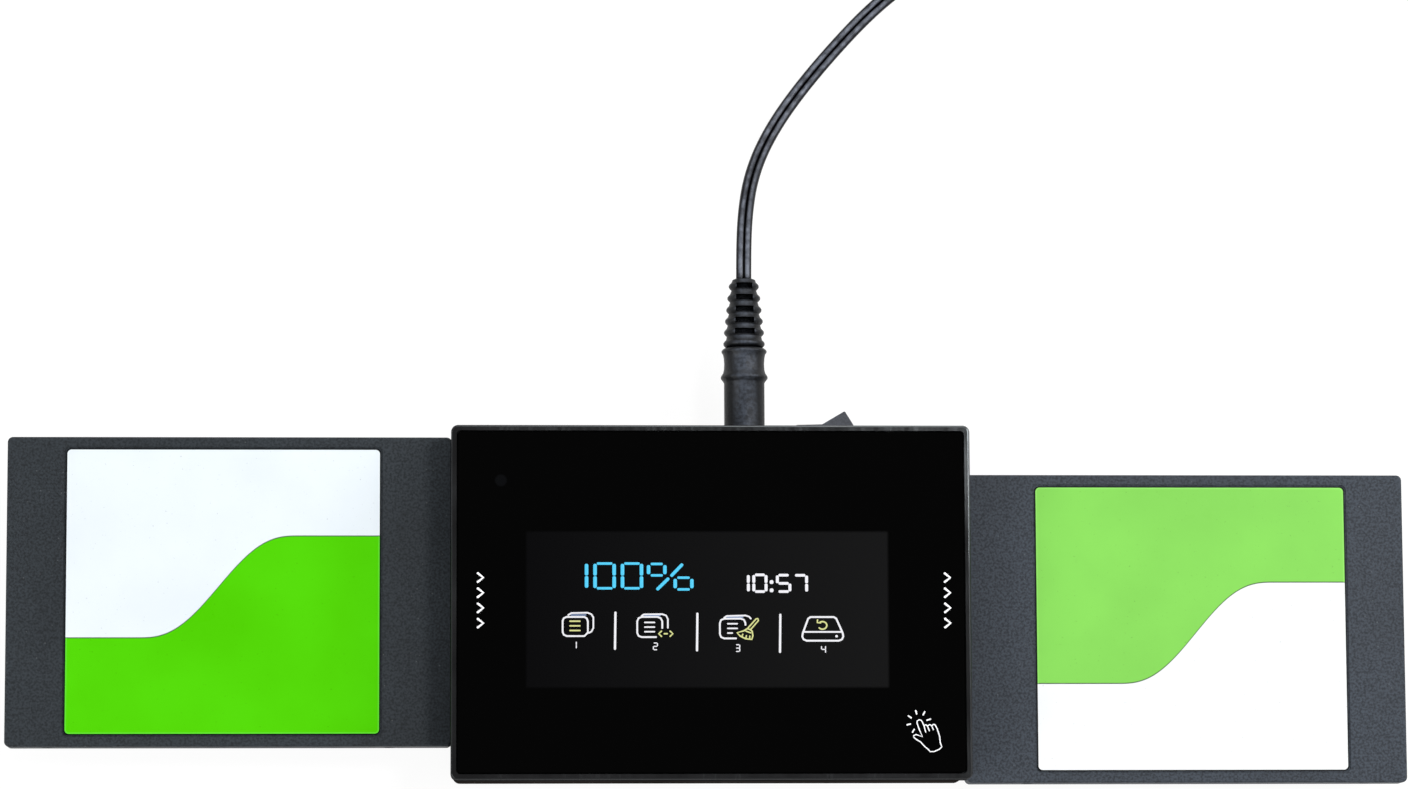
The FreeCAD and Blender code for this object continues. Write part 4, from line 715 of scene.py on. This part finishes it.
def drive_shell(name, colour):
    made = grained_plastic(name, colour, 0.58, 1900.0, 0.00008, shade=0.12, sheen=0.2, pit_tone=0.3)
    tree = made.node_tree
    shader = tree.nodes["Principled BSDF"]
    place = tree.nodes.new("ShaderNodeTexCoord")
    motes = tree.nodes.new("ShaderNodeTexVoronoi")
    motes.inputs["Scale"].default_value = 420.0
    wire(tree, place, "Object", motes, "Vector")
    lint = between(tree, motes.outputs["Distance"], 0.25, 0.0, 0.03, 0.09)
    colour_in = shader.inputs["Base Color"]
    dusty = blended(tree, lint, colour_in.links[0].from_socket, (0.2, 0.21, 0.22, 1))
    tree.links.new(dusty, colour_in)
    return made


source_slate = drive_shell("source_slate", (0.024, 0.030, 0.036))
target_slate = drive_shell("target_slate", (0.042, 0.051, 0.065))
dress(source_slate, "source_drive_base", "source_drive_cover")
dress(target_slate, "target_drive_base", "target_drive_cover")
dress(screw_zinc, "source_drive_board_screws", "target_drive_board_screws")


# ---------------------------------------------------------------- drive labels
# A printed film label in each lid's recess: white, with a green field whose edge steps up in one soft
# wave, and a thin dark line between the two inks. The right drive's green is the paler one.

def printed_label(name, middle, half, turned, white, green):
    """The print follows the label's own place: middle is its centre and half its half size in metres."""
    made, tree, shader = plain_material(name, white, 0.32, sheen=0.05)
    sign = -1.0 if turned else 1.0
    place = tree.nodes.new("ShaderNodeTexCoord")
    own = tree.nodes.new("ShaderNodeMapping")
    own.vector_type = "POINT"
    own.inputs["Location"].default_value = (-middle[0] * sign, -middle[1] * sign, 0)
    own.inputs["Scale"].default_value = (sign, sign, 1)
    wire(tree, place, "Object", own, "Vector")
    axes = tree.nodes.new("ShaderNodeSeparateXYZ")
    wire(tree, own, "Vector", axes, "Vector")
    wave = tree.nodes.new("ShaderNodeMapRange")
    wave.interpolation_type = "SMOOTHERSTEP"
    wave.inputs["From Min"].default_value = -0.017
    wave.inputs["From Max"].default_value = 0.019
    wave.inputs["To Min"].default_value = -0.0125
    wave.inputs["To Max"].default_value = 0.0105
    tree.links.new(axes.outputs["X"], wave.inputs["Value"])
    above = worked_out(tree, "SUBTRACT", axes.outputs["Y"], wave.outputs["Result"])
    green_share = between(tree, above, 0.0, 1.0, -0.00005, 0.00005)
    cloud = spot_noise(tree, 40.0, 4.0)
    white_ink = between_colours(tree, cloud, [c * 0.94 for c in white], white)
    green_ink = between_colours(tree, cloud, [c * 0.9 for c in green], green)
    printed = blended(tree, green_share, white_ink, green_ink)
    seam = inside_band(tree, above, -0.00012, 0.00012, 0.00006)
    printed = blended(tree, seam, printed, (0.05, 0.09, 0.04, 1))
    # how far inside the rounded outline a place lies, then a dark line along the edge, which is painted
    # shade of the gap round the label, and a paler line inside it
    corner = 0.0012
    from_middle = tree.nodes.new("ShaderNodeVectorMath")
    from_middle.operation = "ABSOLUTE"
    wire(tree, own, "Vector", from_middle, 0)
    past = tree.nodes.new("ShaderNodeVectorMath")
    past.operation = "SUBTRACT"
    past.inputs[1].default_value = (half[0] - corner, half[1] - corner, 1.0)
    wire(tree, from_middle, "Vector", past, 0)
    kept = tree.nodes.new("ShaderNodeVectorMath")
    kept.operation = "MAXIMUM"
    wire(tree, past, "Vector", kept, 0)
    reach = tree.nodes.new("ShaderNodeVectorMath")
    reach.operation = "LENGTH"
    wire(tree, kept, "Vector", reach, 0)
    painted_gap_shade = between(tree, reach.outputs["Value"], 0.0, 1.0, corner - 0.0003, corner - 0.0002)
    pale_share = between(tree, reach.outputs["Value"], 0.0, 0.6, corner - 0.0006, corner - 0.0005)
    on_green = worked_out(tree, "MULTIPLY", pale_share, green_share)
    printed = blended(tree, on_green, printed, (*[c * 1.1 + 0.04 for c in green], 1))
    # painted shade: the dark edge stands for the shadow in the gap round the label
    printed = blended(tree, painted_gap_shade, printed, (0.004, 0.005, 0.006, 1))
    worn = between_colours(tree, spot_noise(tree, 1900.0, 2.0), (1, 1, 1), [0.72] * 3, 0.70, 0.78)
    tree.links.new(blended(tree, 1.0, printed, worn, "MULTIPLY"), shader.inputs["Base Color"])
    tree.links.new(between(tree, cloud, 0.26, 0.42), shader.inputs["Roughness"])
    raised(tree, shader, cloud, 0.15, 0.0002)
    return made


for drive, turned, white, green in (
    ("source_drive", True, (0.665, 0.72, 0.76), (0.067, 0.517, 0.001)),
    ("target_drive", False, (0.74, 0.76, 0.77), (0.20, 0.555, 0.087)),
):
    low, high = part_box(f"{drive}_label")
    middle = ((low[0] + high[0]) / 2, (low[1] + high[1]) / 2)
    half = ((high[0] - low[0]) / 2, (high[1] - low[1]) / 2)
    label_print = printed_label(f"{drive}_label_print", middle, half, turned, white, green)
    dress(label_print, f"{drive}_label")


# ---------------------------------------------------------------- power plug
# A nickel-plated barrel in a grip of grained black vinyl. Two collars stand round the grip. The strain
# relief behind it is a row of soft rings, and all but the first are slotted above and below.

def turned_piece(name, axis_place, stations, sides=64):
    """A solid turned about a line along Y. stations are pairs of distance along the line and radius."""
    x, y, z = axis_place
    bpy.ops.object.select_all(action="DESELECT")
    bpy.ops.mesh.primitive_circle_add(
        vertices=sides,
        radius=stations[0][1],
        fill_type="NGON",
        location=(x, y + stations[0][0], z),
        rotation=(math.radians(90), 0, 0),
    )
    piece = bpy.context.object
    piece.name = name
    bpy.ops.object.transform_apply(location=True, rotation=True, scale=True)
    bpy.ops.object.mode_set(mode="EDIT")
    bpy.ops.mesh.select_all(action="SELECT")
    for (before, before_radius), (after, after_radius) in zip(stations, stations[1:]):
        bpy.ops.mesh.extrude_region_move(TRANSFORM_OT_translate={"value": (0, after - before, 0)})
        grow = after_radius / before_radius
        bpy.ops.transform.resize(value=(grow, 1, grow), center_override=(x, y + after, z))
    bpy.ops.mesh.select_all(action="SELECT")
    bpy.ops.mesh.normals_make_consistent(inside=False)
    bpy.ops.object.mode_set(mode="OBJECT")
    return piece


def apply_all(piece):
    choose(piece)
    for modifier in list(piece.modifiers):
        bpy.ops.object.modifier_apply(modifier=modifier.name)


# where the middle of the grip's face meets the case
GRIP_FACE = (0.0083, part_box("plug_grip")[0].y, 0.0140)
GRIP = [
    (0.0000, 0.0042), (0.0004, 0.0046), (0.0114, 0.0046), (0.0118, 0.0048), (0.0124, 0.0053),
    (0.0127, 0.00535), (0.0131, 0.0052), (0.0137, 0.0048), (0.0145, 0.00462), (0.0158, 0.00455),
    (0.0171, 0.00463), (0.0180, 0.0048), (0.0184, 0.0051), (0.0187, 0.00515), (0.0190, 0.0050),
    (0.0193, 0.0046),
]
RINGS = [
    (0.0204, 0.00470), (0.0230, 0.00455), (0.0256, 0.00430), (0.0282, 0.00402), (0.0309, 0.00375),
    (0.0336, 0.00342),
]
stations = list(GRIP)
for centre, radius in RINGS:
    stations += [
        (centre - 0.0009, radius - 0.0006), (centre - 0.0005, radius - 0.0002), (centre - 0.0002, radius),
        (centre + 0.0002, radius), (centre + 0.0005, radius - 0.0002), (centre + 0.0009, radius - 0.0006),
    ]
stations += [(0.0351, 0.0026), (0.0353, 0.0022)]
grip = turned_piece("grip", GRIP_FACE, stations)

SLOT = (0.0045, 0.0013, 0.0034)
NARROWING = 0.00022
slot_cutters = []
for i, (centre, radius) in enumerate(RINGS[1:]):
    for side in (1, -1):
        bpy.ops.object.select_all(action="DESELECT")
        bpy.ops.mesh.primitive_cube_add(
            size=1.0,
            location=(GRIP_FACE[0], GRIP_FACE[1] + centre, GRIP_FACE[2] + side * radius),
            scale=(SLOT[0] - NARROWING * i, SLOT[1], SLOT[2]),
        )
        bpy.ops.object.transform_apply(location=True, rotation=True, scale=True)
        slot_cutters.append(bpy.context.object)
choose(*slot_cutters)
bpy.ops.object.join()
cutter = bpy.context.object
slotting = grip.modifiers.new("slots", "BOOLEAN")
slotting.operation = "DIFFERENCE"
slotting.object = cutter
apply_all(grip)
bpy.data.objects.remove(cutter)
softened = grip.modifiers.new("soft_edges", "BEVEL")
softened.width = 0.00012
softened.segments = 2
softened.limit_method = "ANGLE"
softened.angle_limit = math.radians(50)
apply_all(grip)
bpy.ops.object.shade_smooth_by_angle(angle=math.radians(40))

VINYL_SHEEN = 0.2
grip_vinyl = grained_plastic(
    "grip_vinyl", (0.010, 0.011, 0.0130), 0.45, 1500.0, 0.00016, shade=0.3, sheen=VINYL_SHEEN
)
tree = grip_vinyl.node_tree
# a painted highlight where the grip's faces turn up, and painted shade in its slots and grooves
painted_light_by_form(tree, tree.nodes["Principled BSDF"], (0.032, 0.038, 0.050), 0.0018, 1100.0, VINYL_SHEEN)
grip.data.materials.clear()
grip.data.materials.append(grip_vinyl)
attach(grip, "power_lead")
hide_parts("plug_grip")
barrel_nickel = turned_metal("barrel_nickel", (0.7, 0.69, 0.66), 0.2)
dress(barrel_nickel, "plug_barrel")


# ---------------------------------------------------------------- power cord
# Two insulated cores moulded side by side in one black vinyl jacket, so its section is a flat figure of
# eight. It droops to the table, runs off to the rear, and is put away in a tied coil.

ROUTE = [
    (0.0083, 0.07485, 0.0140),
    (0.0083, 0.0816, 0.0140),
    (0.0088, 0.0904, 0.0121),
    (0.0103, 0.0991, 0.0078),
    (0.0136, 0.1079, 0.0036),
    (0.0192, 0.1173, 0.0011),
    (0.0280, 0.1284, 0.0011),
    (0.0396, 0.1409, 0.0011),
    (0.0506, 0.1492, 0.0012),
]
TAIL = [
    (0.0174, 0.1798, 0.0019),
    (0.0094, 0.1720, 0.0033),
    (-0.0004, 0.1669, 0.0059),
    (-0.0105, 0.1650, 0.0080),
    (-0.0200, 0.1650, 0.0080),
]
COIL_MIDDLE = (0.0424, 0.1730)
# the bundle's turns, one after the other: how far from its middle, and how high, each lies. The last
# share of each turn crosses over to the next
TURNS = [
    (0.0228, 0.0020), (0.0193, 0.0020), (0.0158, 0.0020), (0.0158, 0.0042), (0.0193, 0.0042),
    (0.0228, 0.0042), (0.0228, 0.0064), (0.0193, 0.0064), (0.0160, 0.0063),
]
TURN_COUNT = 8.5
STEPS = 16
CROSSING_SHARE = 0.3
START_ANGLE = -40
coil_points = []
for step in range(int(TURN_COUNT * STEPS) + 1):
    turn_number, so_far = divmod(step / STEPS, 1.0)
    radius, height = TURNS[int(turn_number)]
    next_radius, next_height = TURNS[min(int(turn_number) + 1, len(TURNS) - 1)]
    crossing = max(0.0, (so_far - 1 + CROSSING_SHARE) / CROSSING_SHARE)
    radius += (next_radius - radius) * crossing
    height += (next_height - height) * crossing
    angle = math.radians(START_ANGLE + 360 * step / STEPS)
    coil_points.append(
        (COIL_MIDDLE[0] + radius * math.cos(angle), COIL_MIDDLE[1] + radius * math.sin(angle), height)
    )


def smooth_curve(name, places):
    """A line that runs softly past these places."""
    curve = bpy.data.curves.new(name, "CURVE")
    curve.dimensions = "3D"
    curve.resolution_u = 6
    curve.twist_mode = "Z_UP"
    spline = curve.splines.new("NURBS")
    spline.points.add(len(places) - 1)
    for point, place in zip(spline.points, places):
        point.co = (*place, 1.0)
    spline.order_u = 3
    spline.use_endpoint_u = True
    made = bpy.data.objects.new(name, curve)
    bpy.context.scene.collection.objects.link(made)
    return made


lead_line = smooth_curve("lead_line", [*ROUTE, *coil_points, *TAIL])
bpy.context.view_layer.update()
traced = bpy.data.meshes.new_from_object(lead_line)

# the jacket's section: two round lobes with a groove between them on each flat side
LOBE = 0.00098
LOBE_PLACE = 0.00077
FLAT = 0.00042
LOBE_REACH = 125
LOBE_STEPS = 16
section = bpy.data.curves.new("jacket_section", "CURVE")
section.dimensions = "2D"
outline = section.splines.new("POLY")
ring_points = []
for lobe in (1, -1):
    for step in range(LOBE_STEPS + 1):
        angle = math.radians(LOBE_REACH * (2 * step / LOBE_STEPS - 1))
        across = LOBE_PLACE + LOBE * math.cos(angle)
        ring_points.append((lobe * across, lobe * LOBE * 1.07 * math.sin(angle)))
    ring_points.append((0.0, lobe * (LOBE - FLAT)))
outline.points.add(len(ring_points) - 1)
for point, (x, y) in zip(outline.points, ring_points):
    point.co = (x, y, 0.0, 1.0)
outline.use_cyclic_u = True
section_holder = bpy.data.objects.new("jacket_section", section)
bpy.context.scene.collection.objects.link(section_holder)
lead_line.data.bevel_mode = "OBJECT"
lead_line.data.bevel_object = section_holder
lead_line.data.use_fill_caps = True
choose(lead_line)
bpy.ops.object.convert(target="MESH")
power_cord = bpy.context.object
power_cord.name = "power_cord"
bpy.data.objects.remove(section_holder)
bpy.ops.object.mode_set(mode="EDIT")
bpy.ops.mesh.select_all(action="SELECT")
bpy.ops.mesh.remove_doubles(threshold=0.00001)
bpy.ops.mesh.normals_make_consistent(inside=False)
bpy.ops.object.mode_set(mode="OBJECT")
bpy.ops.object.shade_smooth_by_angle(angle=math.radians(60))

JACKET_SHEEN = 0.15
jacket, tree, shader = plain_material("cord_jacket", (0.011, 0.011, 0.0125), 0.3, sheen=JACKET_SHEEN)
scuff = spot_noise(tree, 320.0, 4.0)
scuffed = between_colours(tree, scuff, (0.004, 0.004, 0.0055), (0.008, 0.0085, 0.0105))
tree.links.new(scuffed, shader.inputs["Base Color"])
tree.links.new(between(tree, scuff, 0.24, 0.36), shader.inputs["Roughness"])
raised(tree, shader, spot_noise(tree, 1400.0, 2.0), 0.15, 0.00002)
# a painted highlight along the top of each lobe, and painted shade in the groove between them
painted_light_by_form(tree, shader, (0.100, 0.110, 0.135), 0.0009, 500.0, JACKET_SHEEN)
power_cord.data.materials.clear()
power_cord.data.materials.append(jacket)
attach(power_cord, "power_lead")
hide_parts("cord_run", "cord_coil", "cord_tail")


# ---------------------------------------------------------------- coil tie
# A flat strip of black vinyl with a steel core. It is bent by hand once round the whole bundle, so that
# the coil keeps its shape.

tie_black = polished_plastic("tie_vinyl", (0.02, 0.02, 0.022), 0.38)
dress(tie_black, "coil_tie")


# ---------------------------------------------------------------- wall adapter
# Two mouldings of grained black plastic welded together, with two flat brass blades and a short relief
# for the cord.

adapter_black = grained_plastic("adapter_moulding", (0.028, 0.028, 0.03), 0.5, 1900.0, 0.00006)
dress(adapter_black, "adapter_case", "adapter_face")
# the relief takes the grip's vinyl, with its painted highlight and painted shade
dress(grip_vinyl, "adapter_relief")
blade_metal = turned_metal("blade_metal", (0.78, 0.74, 0.62), 0.24)
dress(blade_metal, "adapter_blades")
